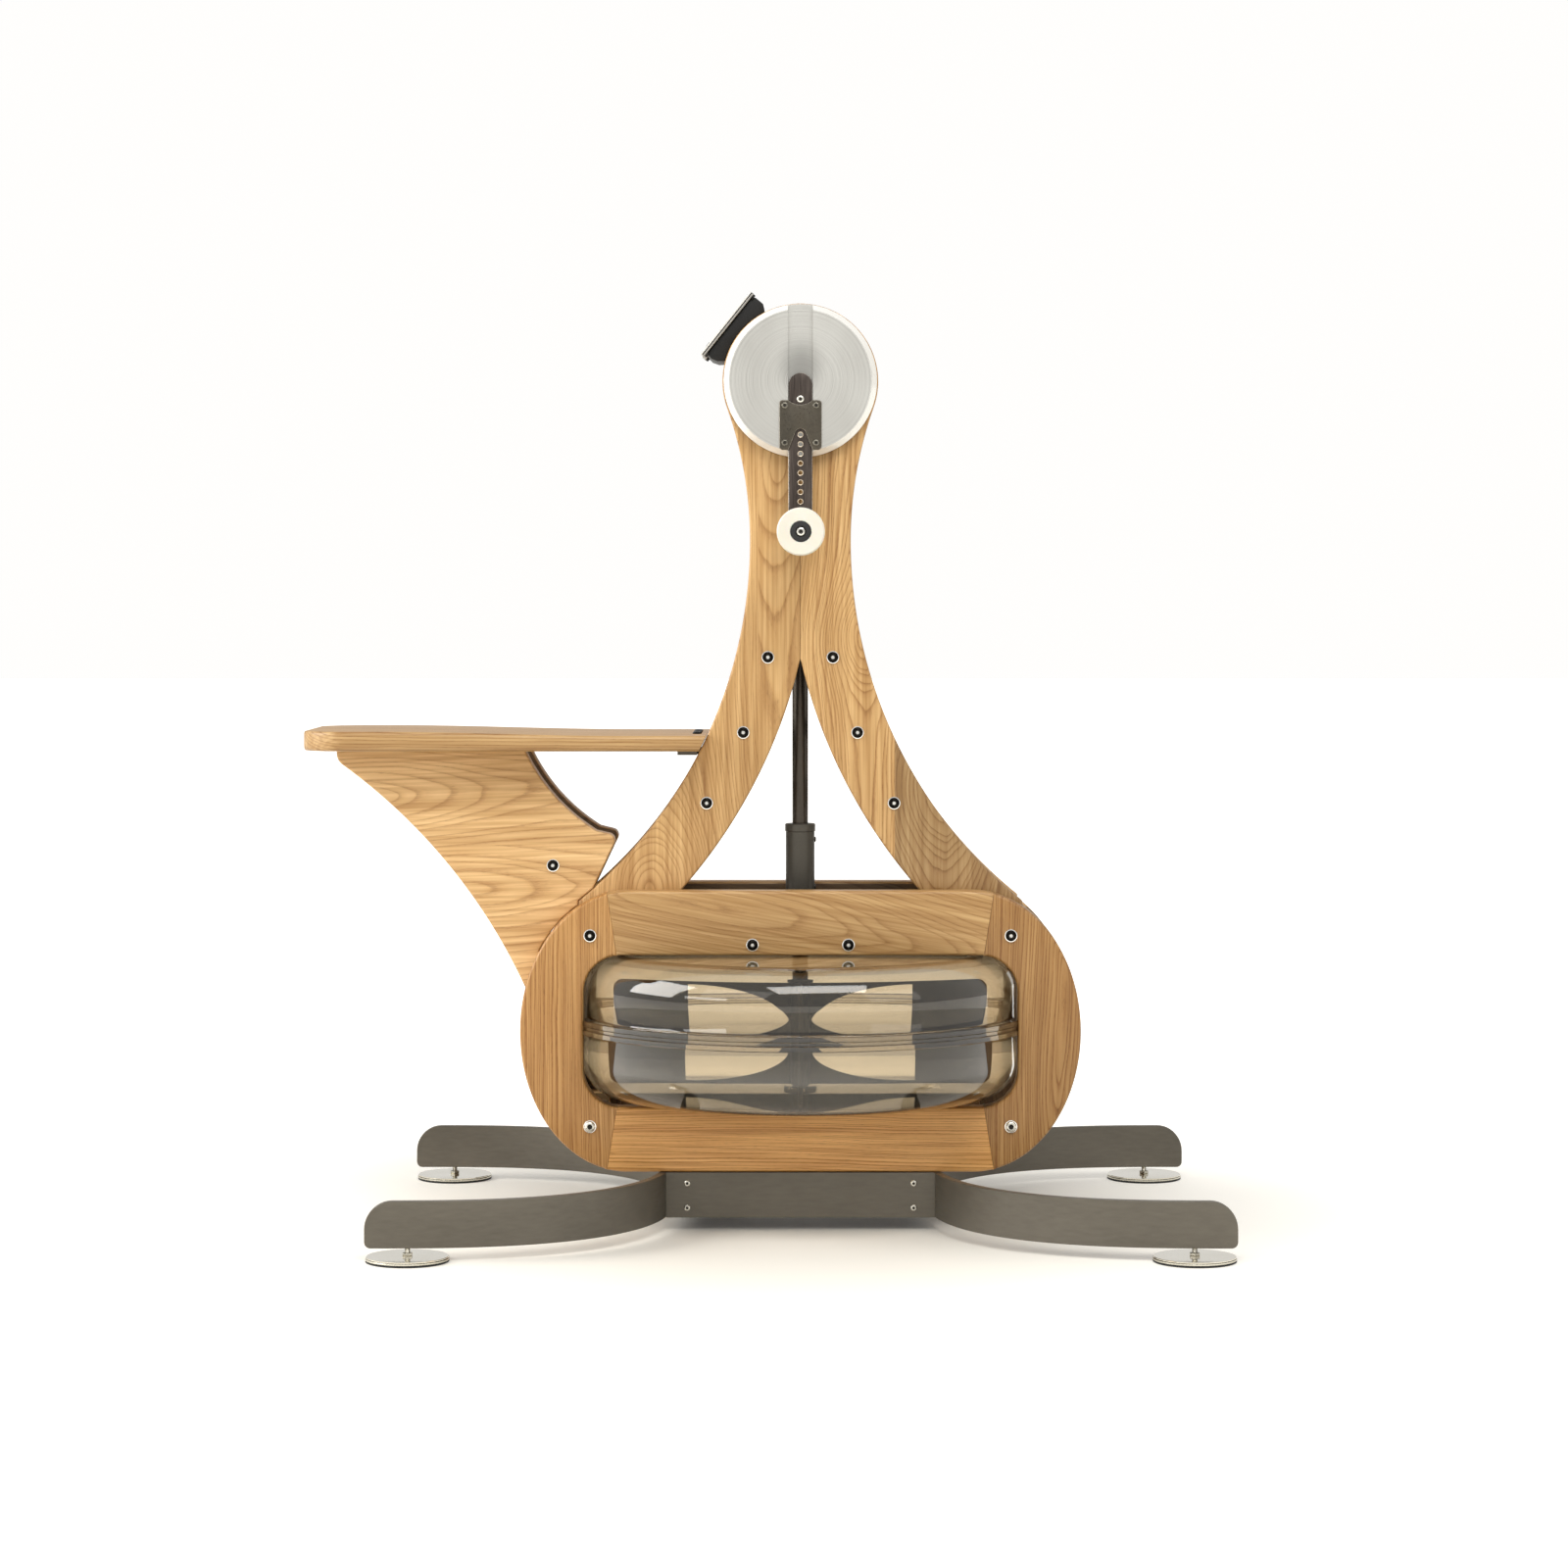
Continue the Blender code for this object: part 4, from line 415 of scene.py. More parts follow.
def ash(name, grain, log, seam=None, other=None, seed=0.0, wobble=0.005, contrast=1.0, inner=0.0,
        base=golden_ash):
    """Oiled ash. Its growth rings lie round the pith of a log, which swells by a smooth bump.

    A log is (heart, pith, crest, length, rise, pitch, value). With s = (along - crest) / length,
    the growth ring at a point is q / pitch, where q is the length of (across - heart, depth) and
    depth = y + 0.1 + pith + rise * s^2 / (1 + s^2). Slow noise bends the rings. The fraction of
    the ring gives the thin brown early wood and then the pale late wood, and fine noise drawn
    out along the fibre gives the pores. Grain is the fibre's angle in the board's face, in
    degrees above level. Below the seam the board is glued from another log. Faces nearer to the
    middle of the machine than inner get a painted shade: their colour is darkened.
    """
    made, node, feed = finish_nodes(name, Roughness=0.45)

    def maths(kind, *values, of="Math"):
        return node(of, dict(enumerate(values)), operation=kind).outputs[0]

    place = node("TexCoord").outputs["Object"]
    centred = node("Mapping", {"Vector": place, "Location": (-axis_x, 0, 0)}).outputs["Vector"]
    turn = (0, np.radians(grain), 0)
    fibre = node("Mapping", {"Vector": centred, "Rotation": turn}).outputs["Vector"]

    def drawn(scale, detail, key="Fac"):
        """Noise in the board's own directions: along the fibre, through the board, across it."""
        moved = node("Mapping", {"Vector": fibre, "Scale": scale, "Location": (seed, 0, seed)})
        wants = {"Vector": moved.outputs["Vector"], "Scale": 1.0, "Detail": detail}
        return node("TexNoise", wants).outputs[key]

    if other:
        up_the_board = node("SeparateXYZ", {"Vector": fibre}).outputs["Z"]
        below = maths("LESS_THAN", up_the_board, seam)

    def chosen(number):
        """A log's value, or the other log's below the seam."""
        if not other or log[number] == other[number]:
            return log[number]
        return maths("MULTIPLY_ADD", below, other[number] - log[number], log[number])

    bent = fibre
    for scale, bend in ((wide_bend, 4 * wobble), (fine_bend, 0.0035)):
        bent = maths("MULTIPLY_ADD", drawn(scale, 1.0, "Color"), (bend,) * 3, bent, of="VectorMath")
    bent = maths("SUBTRACT", bent, (2 * wobble + 0.0035 / 2,) * 3, of="VectorMath")
    split = node("SeparateXYZ", {"Vector": bent}).outputs
    stretch = maths("DIVIDE", maths("SUBTRACT", split["X"], chosen(2)), chosen(3))
    square = maths("MULTIPLY", stretch, stretch)
    swell = maths("DIVIDE", square, maths("ADD", square, 1.0))
    depth = maths("MULTIPLY_ADD", swell, chosen(4), maths("ADD", split["Y"], 0.1))
    aside = maths("SUBTRACT", split["Z"], chosen(0))
    spoke = node("CombineXYZ", {"X": maths("ADD", depth, chosen(1)), "Y": aside})
    radius = node("VectorMath", {0: spoke.outputs[0]}, operation="LENGTH").outputs["Value"]
    rings = maths("DIVIDE", radius, chosen(5))
    uneven = node("TexNoise", {"W": rings, "Scale": 0.35, "Detail": 1.0}, noise_dimensions="1D")
    year = maths("FRACT", maths("MULTIPLY_ADD", uneven.outputs["Fac"], 2.6, rings))
    colour = ramp(node, year, *((share, np.clip(np.add(base, np.multiply(tone, contrast)), 0, 255))
                                for share, tone in year_tones))

    pore = node("MapRange", {"Value": drawn((120, 1500, 1500), 1.0), "From Min": 0.54,
                             "From Max": 0.66})
    early = node("MapRange", {"Value": year, "From Min": 0.50, "From Max": 0.05})
    open_pore = maths("MULTIPLY", pore.outputs["Result"], early.outputs["Result"])
    amount = maths("MULTIPLY", open_pore, 0.5 * contrast)
    colour = node("Mix", {0: amount, 6: colour, 7: screen_colour(*pore_brown)}, data_type="RGBA")
    for scale, detail, start, tone in streaks:
        streak = ramp(node, drawn(scale, detail), (start, tone), (1 - start, (255, 255, 255)))
        colour = node("Mix", {0: 1.0, 6: colour.outputs[2], 7: streak}, data_type="RGBA",
                      blend_type="MULTIPLY")
    # Painted shade: faces nearer the middle than inner have their colour darkened to 0.3, standing
    # in for the shade between the boards.
    painted_shade = maths("ABSOLUTE", node("SeparateXYZ", {"Vector": place}).outputs["Y"])
    painted_shade = node("MapRange", {"Value": painted_shade, "From Min": inner - 0.0001,
                              "From Max": inner + 0.0001, "To Min": 0.3 if inner else 1.0})
    value = maths("MULTIPLY", painted_shade.outputs["Result"], chosen(6))
    cast = node("HueSaturation", {"Value": value, "Color": colour.outputs[2]})
    feed("Base Color", cast.outputs["Color"])
    rough = node("MapRange", {"Value": open_pore, "To Min": 0.40, "To Max": 0.62})
    feed("Roughness", rough.outputs["Result"])
    relief(node, feed, maths("MULTIPLY_ADD", open_pore, -1.0, 1.0), 0.35, 0.2)
    return made


ring_centre, ring_half, ring_straight, ring_end = 0.2253, 0.1595, 0.1964, 0.1224
opening_low, opening_high, opening_reach, opening_round = 0.1391, 0.3115, 0.2468, 0.0425
joint_outer, joint_inner, glued_edge, rounded_edge = 0.2198, 0.2087, 0.0003, 0.0035
outer_gap, inner_gap = 0.12, 0.4
ring_near, ring_far = 0.0635, 0.0935
corner_x, corner_low, corner_high = (opening_reach - opening_round, opening_low + opening_round,
                                     opening_high - opening_round)
outer_begin = np.degrees(np.arccos((joint_outer - ring_straight) / ring_end))
inner_begin = np.degrees(np.arccos((joint_inner - corner_x) / opening_round))
ring_oval = np.array((ring_end, ring_half))
end_board = np.concatenate([
    sweep((ring_straight, ring_centre), ring_oval, outer_begin, -outer_begin, 97),
    sweep((corner_x, corner_low), opening_round, -inner_begin, 0, 28),
    sweep((corner_x, corner_high), opening_round, 0, inner_begin, 28)])
end_edge = np.full(len(end_board), rounded_edge)
end_edge[[0, 96, 97, -1]] = glued_edge
# A rail stops short of the end boards by a gap, in degrees of the round that the joint is on.
rail_outer = sweep((ring_straight, 0), ring_oval, outer_begin + outer_gap, 90, 12)
rail_outer = np.concatenate([rail_outer, flipped(rail_outer[::-1])])
rail_inner = sweep((corner_x, 0), opening_round, 90, inner_begin + inner_gap, 6)
rail_inner = np.concatenate([flipped(rail_inner[::-1]), rail_inner])
rail_edge = np.full(len(rail_outer) + len(rail_inner), rounded_edge)
rail_edge[[0, 23, 24, -1]] = glued_edge
top_rail = np.concatenate([rail_outer + (0, ring_centre), rail_inner + (0, corner_high)])
bottom_rail = np.concatenate([rail_outer * (1, -1) + (0, ring_centre),
                              rail_inner * (1, -1) + (0, corner_low)])
end_left_ash = ash("ash_ring_left_end", 91.0, (0.13, 0.05, 0.22, 0.20, 0.010, 0.0034, 0.79),
                   seed=0.4, wobble=0.0045, contrast=1.05, inner=0.0636, base=orange_ash)
end_right_ash = ash("ash_ring_right_end", 88.0, (-0.290, 0.004, 0.240, 0.30, 0.030, 0.0033, 0.62),
                    seed=3.1, wobble=0.010, contrast=0.95, inner=0.0636, base=orange_ash)
top_ash = ash("ash_ring_top_rail", -10.0, (0.345, 0.012, -0.158, 0.30, 0.045, 0.0040, 0.83),
              seed=7.7, wobble=0.008, contrast=0.55, inner=0.0636)
bottom_ash = ash("ash_ring_bottom_rail", -0.5, (0.20, 0.02, 0.10, 0.30, 0.012, 0.0027, 1.16),
                 seed=5.2, wobble=0.0035, contrast=0.95, inner=0.0636, base=orange_ash)
for end, side in ends:
    for part, outline, edge, wood in (
            ("left_end", flipped(end_board), end_edge, end_left_ash),
            ("right_end", end_board, end_edge, end_right_ash),
            ("top_rail", top_rail, rail_edge, top_ash),
            ("bottom_rail", bottom_rail, rail_edge, bottom_ash)):
        board(f"ring_{part}_board_{end}", outline, edge, side * ring_near, side * ring_far, wood,
              "frame", "ring_wood", f"ring_{end}_{part}")


# Ring frame bolts: sleeve bolts through both rings, with low domed heads, a hexagon socket and
# a bright plated washer. The lower pair on each side is plain bright zinc, the rest are dark.
head_chrome = steel("dark_plated_heads", (12, 11, 10), (30, 28, 25), 0.2, 1.0, 90)
washer_chrome = steel("plated_washers", (225, 224, 219), (244, 243, 239), 0.18, 1.0, 150)
socket_steel = steel("socket_cores", (186, 184, 178), (232, 230, 225), 0.3, 1.0, 150)
washer = [(0, 0), (7.3, 0), (7.4, 0.4), (7.1, 0.9), (6.0, 1.0), (0, 1.0)]
core = [(0, 0), (2.3, 0), (2.3, 1.2), (1.8, 1.6), (0.9, 1.6), (0.9, 0.8), (0, 0.8)]
head_size, head_lift, core_lift = (6.3, 3.4, 2.6), 0.0009, 0.0020


def bolt_head(name, x, z, face, side, bright=False):
    """A washer, a domed head on it and a hexagon core, outwards from a board's face."""
    out, steel_of_bolt = (0, side, 0), ("frame", "bolt_steel")
    turned(name + "_washer", washer, (axis_x + x, side * face, z), out, washer_chrome,
           *steel_of_bolt, sides=64)
    screw(name + "_head", (axis_x + x, side * (face + head_lift), z), out, head_size, 6,
          screw_steel if bright else head_chrome, *steel_of_bolt)
    if not bright:
        turned(name + "_core", core, (axis_x + x, side * (face + core_lift), z), out,
               socket_steel, *steel_of_bolt, sides=24)


ring_bolt_x, bridge_bolt_x, upper_z, lower_z, bridge_z = 0.2391, 0.0545, 0.3343, 0.1175, 0.3238
for end, side in ends:
    for hand, sign in hands:
        ring_bolt = f"ring_bolt_{end}_{hand}_"
        bolt_head(ring_bolt + "upper", sign * ring_bolt_x, upper_z, ring_far, side)
        bolt_head(ring_bolt + "lower", sign * ring_bolt_x, lower_z, ring_far, side, bright=True)
        bolt_head(f"bridge_bolt_{end}_{hand}", sign * bridge_bolt_x, bridge_z, ring_far, side)


# Upper frame: four curved boards of 30 mm ash, a left and a right one in front of the drive and
# the same behind it, glued along the middle of the neck and head and open below as two legs.
crank_height, head_radius, neck_half, neck_height = 0.9655, 0.0891, 0.0577, 0.783
leg_radius, leg_width, leg_near, leg_far = 0.530, 0.0728, 0.0332, 0.0632
leg_centre = neck_half + leg_radius
leg_bottom, trim_height, knee_height = 0.3135, 0.3665, 0.3859
foot_heights = np.concatenate([np.linspace(knee_height, trim_height, 5),
                               np.linspace(trim_height, leg_bottom, 16)[1:]])


def leg_edge(z, radius=leg_radius):
    """An edge of the leg, the outer one or another: centre - sqrt(radius^2 - (neck - z)^2)."""
    return leg_centre - np.sqrt(radius**2 - (neck_height - z) ** 2)


def ring_outline(z):
    """How far the ring frame reaches at a height: straight + end * sqrt(1 - (dz / half)^2)."""
    return ring_straight + ring_end * np.sqrt(
        1 - np.clip(np.abs(z - ring_centre) / ring_half, 0, 1) ** 2)


def leg_foot(z):
    """Below the knee the edge runs straight into the ring frame and then follows its outline."""
    straight = leg_edge(trim_height) + 0.83 * (trim_height - z)
    return np.where(z > trim_height, leg_edge(z), np.minimum(straight, ring_outline(z) + 0.0005))


def frame_board():
    """The right half: crotch, bearing bore, head, neck, leg and the leg's inner edge."""
    seam, bore, leg_inside = 0.0002, 0.0213, leg_radius + leg_width
    rise = crank_height - neck_height
    fillet = (neck_half**2 + rise**2 - head_radius**2) / (2 * (head_radius - neck_half))
    tangent = np.degrees(np.arctan2(-rise, neck_half + fillet))
    crotch = neck_height - np.sqrt(leg_inside**2 - (leg_centre - seam) ** 2)
    down = np.linspace(neck_height, knee_height, 60)[1:-1]
    up = np.linspace(leg_bottom, crotch, 60)[:-1]
    return np.concatenate([
        [(seam, crotch)],
        sweep((0, crank_height), bore, -89.4, 89.4, 33),
        sweep((0, crank_height), head_radius, 89.85, tangent, 60),
        sweep((neck_half + fillet, neck_height), fillet, 180 + tangent, 180, 24)[1:],
        np.stack([leg_edge(down), down], 1),
        np.stack([leg_foot(foot_heights), foot_heights], 1),
        np.stack([leg_edge(up, leg_inside), up], 1)])


# Edge radii: crisp at the glued seam and the bore, and again where the leg meets the ring frame.
frame_edge = np.repeat((0.0002, 0.0028, 0.0004, 0.0028), (36, 146, 15, 57))
left_leg_ash = ash("ash_left_half", 90.0, (0.170, -0.020, 0.380, 0.09, 0.060, 0.0036, 0.92), 0.048,
                   (0.030, -0.015, 0.870, 0.10, 0.040, 0.0065, 0.92), seed=1.3, contrast=0.65,
                   inner=0.0334)
right_leg_ash = ash("ash_right_half", 90.0, (-0.078, -0.020, 0.670, 0.055, 0.030, 0.0028, 0.93),
                    -0.108, (-0.162, -0.012, 0.500, 0.09, 0.050, 0.0038, 0.55), seed=9.4,
                    contrast=0.85, inner=0.0334)
rear_leg_ash = ash("ash_rear_halves", 90.0, (0.14, 0.04, 0.50, 0.30, 0.020, 0.0042, 0.97),
                   seed=14.4, inner=0.0334)
for end, side in ends:
    for hand, outline, wood in (("left", flipped(frame_board()), left_leg_ash),
                                ("right", frame_board(), right_leg_ash)):
        board(f"frame_board_{end}_{hand}", outline, frame_edge, side * leg_near, side * leg_far,
              wood if end == "front" else rear_leg_ash, "frame", "frame_wood",
              f"frame_{end}_{hand}")


# Frame bolts: six sleeve bolts that clamp the legs' boards on turned spacers, with the same
# dark heads in front and behind. A seventh goes through the seat's support boards.
spacer_black = steel("black_spacers", (48, 45, 41), (70, 66, 60), 0.45, 0.7, 30)
spacer = [(3.2, -32.8), (11.0, -32.8), (11.0, -30.0), (9.8, -29.0), (9.8, 29.0),
          (11.0, 30.0), (11.0, 32.8), (3.2, 32.8), (3.2, -32.8)]


def through_bolt(name, x, z, replaced):
    """A spacer tube between the boards, waisted a little, with a head on each outer face."""
    turned(name + "_spacer", spacer, (axis_x + x, 0, z), (0, 1, 0), spacer_black, "frame",
           "bolt_steel", replaced, sides=48)
    for end, side in ends:
        bolt_head(f"{name}_{end}", x, z, leg_far, side)


for place, z in (("crotch", 0.650), ("upper", 0.564), ("lower", 0.4833)):
    reach = leg_edge(z, leg_radius + leg_width / 2)
    for hand, sign in hands:
        through_bolt(f"leg_bolt_{place}_{hand}", sign * reach, z, f"frame_bolt_{place}_{hand}")
through_bolt("support_bolt", -0.2829, 0.4121, "seat_support_bolt")


# Seat supports: two boards of the same ash that sweep up from behind the ring frame's left end
# to the bench. Their grain is level, with a wide heart figure, and their corners are rounded.
def rounded_corner(points, corner, radius, count=9):
    """The outline with one corner replaced by an arc of a circle that touches both its sides."""
    spot = points[corner]
    one, two = points[corner - 1] - spot, points[corner + 1] - spot
    one, two = one / np.linalg.norm(one), two / np.linalg.norm(two)
    half = np.arccos(np.clip(one @ two, -1, 1)) / 2
    centre = spot + (one + two) / np.linalg.norm(one + two) * radius / np.sin(half)
    start, end = (spot + way * radius / np.tan(half) - centre for way in (one, two))
    share = np.linspace(0, 1, count)[:, None]
    bend = start * (1 - share) + end * share
    bend *= radius / np.linalg.norm(bend, axis=1)[:, None]
    return np.concatenate([points[:corner], centre + bend, points[corner + 1:]])


seat_low = 0.5443
support_top, tip_x, heel_x, heel_z, step_z = seat_low - 0.0003, 0.5304, -0.222, 0.098, 0.1408
under_x, under_z, under_radius = -0.9024, 0.0032, 0.6464
inner_centre, inner_radius = (-0.1208, 0.6335), 0.214
tip_z = under_z + np.sqrt(under_radius**2 - (tip_x + under_x) ** 2)
down = np.linspace(tip_z, heel_z, 70)
swept = -(under_x + np.sqrt(under_radius**2 - (down - under_z) ** 2))
tank_side = -(np.sqrt(0.264**2 - leg_near**2) + 0.0015)
arc_low, arc_high = (np.degrees(np.arcsin((z - inner_centre[1]) / inner_radius))
                     for z in (0.4515, support_top))
rest_heights = foot_heights[::-1]
support = np.concatenate([
    [(-tip_x, support_top)],
    np.stack([-np.minimum(tip_x, np.maximum(swept, ring_outline(down) - 0.002)), down], 1),
    [(heel_x, heel_z), (heel_x, step_z), (tank_side, step_z), (tank_side, leg_bottom - 0.004)],
    np.stack([-leg_foot(rest_heights) - 0.0005, rest_heights], 1),
    [(-0.2089, 0.4457)],
    sweep(inner_centre, inner_radius, 180 - arc_low, 180 - arc_high, 40)])
support = rounded_corner(support, 1 + len(down) + 4 + len(rest_heights), 0.008)
support = rounded_corner(support, 1, 0.016)
support_ash = ash("ash_seat_supports", 2.0, (0.508, -0.020, -0.482, 0.15, 0.040, 0.0058, 1.08),
                  0.447, (0.399, -0.024, -0.366, 0.13, 0.045, 0.0090, 1.12), seed=0.9,
                  wobble=0.006, contrast=0.6, inner=0.0334, base=(233, 196, 142))
for end, side in ends:
    board(f"seat_support_board_{end}", support, 0.0022, side * leg_near, side * leg_far,
          support_ash, "frame", "seat_wood", f"seat_support_{end}")


# Bench board: one solid ash board with rounded edges and two large rounds at its free end. Its
# inner end is cut on a slant to sit against the legs, over a folded steel bracket.
seat_reach, seat_flat, seat_half, seat_round, bench_edge = 0.5673, 0.5620, 0.120, 0.055, 0.0045
seat_length, seat_lift = seat_reach - 0.1071, 0.0047


def bench(name, *looks):
    """A round-edged rectangle carried along the board.

    At distance d from the free end the half width is half - R + sqrt(R^2 - (R - d)^2), and the
    top rises 4.7 mm by a smooth step from x = -0.200 to -0.480. The rectangle shrinks towards
    the free end by a quarter circle. The inner end's points slant with the legs' outer edge.
    """
    start = bench_edge * (1 - np.cos(np.linspace(0, np.pi / 2, 8)))
    along = np.concatenate([start[:-1], np.linspace(bench_edge, seat_round, 26)[:-1],
                            np.linspace(seat_round, seat_length, 60)])
    short = np.clip(seat_round - along, 0, seat_round)
    half = seat_half - seat_round + np.sqrt(seat_round**2 - short**2)
    shrink = bench_edge - np.sqrt(
        np.clip(bench_edge**2 - np.clip(bench_edge - along, 0, None) ** 2, 0, None))
    rise = np.clip((seat_reach - along - 0.200) / 0.280, 0, 1)
    top = seat_flat + seat_lift * rise**2 * (3 - 2 * rise) - shrink
    low = seat_low + shrink
    half = half - shrink
    round_edge = np.minimum(bench_edge, (top - low) / 2.05)[:, None]
    sign_y, sign_z = np.repeat([1, -1, -1, 1], 6), np.repeat([1, 1, -1, -1], 6)
    angle = np.concatenate([np.linspace(0, np.pi / 2, 6) + n * np.pi / 2 for n in range(4)])
    middle, tall = (top + low)[:, None] / 2, (top - low)[:, None] / 2
    y = sign_y * (half[:, None] - round_edge) + round_edge * np.cos(angle)
    z = middle + sign_z * (tall - round_edge) + round_edge * np.sin(angle)
    slant = (leg_edge(seat_low) - leg_edge(seat_flat)) * (z - seat_low) / (seat_flat - seat_low)
    inner = -leg_edge(seat_low) - 0.0008 + slant
    x = -seat_reach + (along / along[-1])[:, None] * (inner + seat_reach)
    skin(name, np.stack([axis_x + x, y, z], axis=-1), *looks, closed=True)


bench_ash = ash("ash_bench_board", 0.6, (1.00, 0.20, 0.0, 0.5, 0.02, 0.0036, 0.72), seed=21.0,
                wobble=0.004, contrast=0.8)
bench("bench_board", bench_ash, "frame", "seat_wood", "seat_board")
dress(steel("dark_bracket_plate", (72, 66, 58), (96, 90, 80), 0.4, 0.5, 20), "seat_bracket")
bench_screw_x, bench_screw_rows = -0.1185, (-0.045, -0.015, 0.015, 0.045)
for number, y in enumerate(bench_screw_rows):
    screw(f"bench_screw_{number}", (axis_x + bench_screw_x, y, seat_flat), (0, 0, 1),
          (5.2, 2.2, 2.2), 6, head_chrome, "frame", "seat_wood")


# Tank: two blown shells of smoky clear plastic, flanged and sealed together on a thin clear seal.
# It stands on a wooden deck between the rings, under a wooden bridge with the shaft's hole.
# Sizes are in millimetres, with heights from the seal's middle, which is tank_middle metres up.
tank_middle, tank_round, tank_rise, tank_drop = 0.2294, 41.0, 80.1, 84.6
wall_radius, wall, flange_radius, flange, seal, seal_gap = 253.0, 4.0, 264.0, 6.5, 1.7, 0.3
flat_radius = wall_radius - tank_round
neck_bore, neck_radius, neck_top = 9.4, 16.0, tank_rise + 5.9


def clear_finish(name, tint, refraction, wave, strength, **fixed):
    """A clear, slightly coloured material with a slow, faint wave in its surface."""
    made, node, feed = finish_nodes(name, Roughness=0.0, Base_Color=screen_colour(*tint),
                                    Transmission_Weight=1.0, IOR=refraction, **fixed)
    relief(node, feed, noise(node, wave), strength, 2.0)
    return made, node


# The plastic is smoked right through, so its rims are darkest.
tank_plastic, node = clear_finish("smoky_clear_plastic", (232, 223, 206), 1.42, (7, 7, 12), 0.12,
                                  Coat_Weight=0.6)
smoke = node("VolumeAbsorption", {"Color": (0.70, 0.66, 0.58, 1.0), "Density": 150.0})
tree = tank_plastic.node_tree
tree.links.new(smoke.outputs["Volume"], tree.nodes["Material Output"].inputs["Volume"])


def shoulder(sign, height, radius):
    """A quarter circle from a shell's flat face to its upright wall, as (radius, height)."""
    return sweep((flat_radius, sign * (height - tank_round)), (radius, sign * radius), 90, 0, 24)


def shell_side(sign, height):
    """A shell's outer shoulder, its flange and its inner shoulder, as (radius, height) rows."""
    low = seal + seal_gap
    top = low + flange
    lip = [(wall_radius, top + 2), (wall_radius + 0.6, top + 0.6), (wall_radius + 2, top),
           (flange_radius - 0.8, top), (flange_radius, top - 0.8), (flange_radius, low + 0.6),
           (flange_radius - 0.6, low), (wall_radius - wall, low)]
    return np.concatenate([shoulder(sign, height, tank_round), np.multiply(lip, (1, sign)),
                           shoulder(sign, height, tank_round - wall)[::-1]])


upper = np.concatenate([
    [(neck_bore, neck_top), (neck_radius - 0.5, neck_top), (neck_radius, neck_top - 0.5),
     (neck_radius, tank_rise + 1.9), (flat_radius / 2, tank_rise + 1.2)],
    shell_side(1, tank_rise),
    [(flat_radius / 2, tank_rise + 1.2 - wall), (neck_bore, tank_rise + 2.0 - wall),
     (neck_bore, neck_top)]])
floor_top = wall - tank_drop
lower = np.concatenate([
    [(0, -tank_drop)], shell_side(-1, tank_drop),
    [(20, floor_top), (18, floor_top + 4), (0, floor_top + 4)]])
gasket = [(wall_radius - 3, -seal), (flange_radius - 1, -seal), (flange_radius - 1, seal),
          (wall_radius - 3, seal), (wall_radius - 3, -seal)]
# The water reaches half a millimetre into the shell's wall, so that no film of air is left there.
# Its light hardly bends, as in the photograph: what stands in it is seen where it is.
still_water, _ = clear_finish("still_water", (250, 249, 246), 1.02, (9, 9, 9), 0.1)
water_top, into_wall = 224.9 - 1000 * tank_middle, 0.5
water = np.concatenate([
    [(0, water_top), (wall_radius - wall + into_wall, water_top)],
    shoulder(-1, tank_drop, tank_round - wall + into_wall)[::-1],
    [(20, floor_top - into_wall), (0, floor_top - into_wall)]])
for name, profile, finish, slot, node_name in (
        ("tank_shell_upper", upper, tank_plastic, "tank_plastic", "tank_upper_shell"),
        ("tank_shell_lower", lower, tank_plastic, "tank_plastic", "tank_lower_shell"),
        ("tank_seal", gasket, tank_plastic, "gasket_rubber", "tank_gasket"),
        ("tank_water", water, still_water, "water", "water")):
    turned(name, profile, (axis_x, 0, tank_middle), (0, 0, 1), finish, "frame", slot, node_name,
           sides=192)
# This ash is made very dark, at a value of 0.20, as painted shade for the shade between the boards
# round the tank.
carrier_ash_painted_shade = ash("ash_tank_carriers_painted_shade", 0.0, (0.25, 0.05, 0.0, 0.5, 0.02, 0.0045, 0.20), seed=2.2)
dress(carrier_ash_painted_shade, "tank_deck", "shaft_bridge")


# Paddle: four flat blades of dark sheet, each with a large window cut through it, round a slim
# hub on the tank's pivot. Its stem leaves the tank through the neck of the upper shell.
paddle_metal = steel("dark_paddle_sheet", (24, 20, 15), (36, 31, 25), 0.5, 0.3,
                     (8, 8, 20), (20, 20, 60), 0.03)
blade_low, blade_high, blade_reach, blade_half_thick = 0.155, 0.278, 0.2165, 0.002
blade_middle, blade_rise = (blade_low + blade_high) / 2, (blade_high - blade_low) / 2


def rounded_rectangle(low, high, radius):
    """Four quarter circles, one at each corner, as a closed outline."""
    corners = ((low[0], low[1], 180), (high[0], low[1], 270), (high[0], high[1], 0),
               (low[0], high[1], 90))
    middle = np.add(low, high) / 2
    return np.concatenate([
        sweep((x + np.sign(middle[0] - x) * r, z + np.sign(middle[1] - z) * r), r, a, a + 90, 8)
        for (x, z, a), r in zip(corners, np.broadcast_to(radius, 4))])


blade = rounded_rectangle((0.004, blade_low), (blade_reach, blade_high),
                          (0.001, 0.012, 0.012, 0.001))
window = sweep((0.130, blade_middle), (0.1165, blade_rise - 0.0045), 90, 270, 48)
for number in range(4):
    turn = np.radians(90 * number)

    def blade_place(points, turn=turn):
        """From (distance out, height, thickness) to its place round the shaft."""
        out, up, side = points.T
        return np.stack([axis_x + out * np.cos(turn) - side * np.sin(turn),
                         out * np.sin(turn) + side * np.cos(turn), up], axis=1)

    board(f"paddle_blade_{number}", blade, 0.0004, -blade_half_thick, blade_half_thick,
          paddle_metal, "drivetrain", "paddle_metal", holes=[window], place=blade_place, steps=2)
stem_radius = 9.1
hub = [(0, 153.1), (stem_radius, 153.1), (stem_radius, 154.5), (11.8, 155), (11.2, 158),
       (11.2, 214), (12.4, 216.5), (12.4, 219), (11.2, 221.5), (11.2, 277), (15, 279), (15, 284),
       (stem_radius, 285), (stem_radius, 406), (0, 406)]
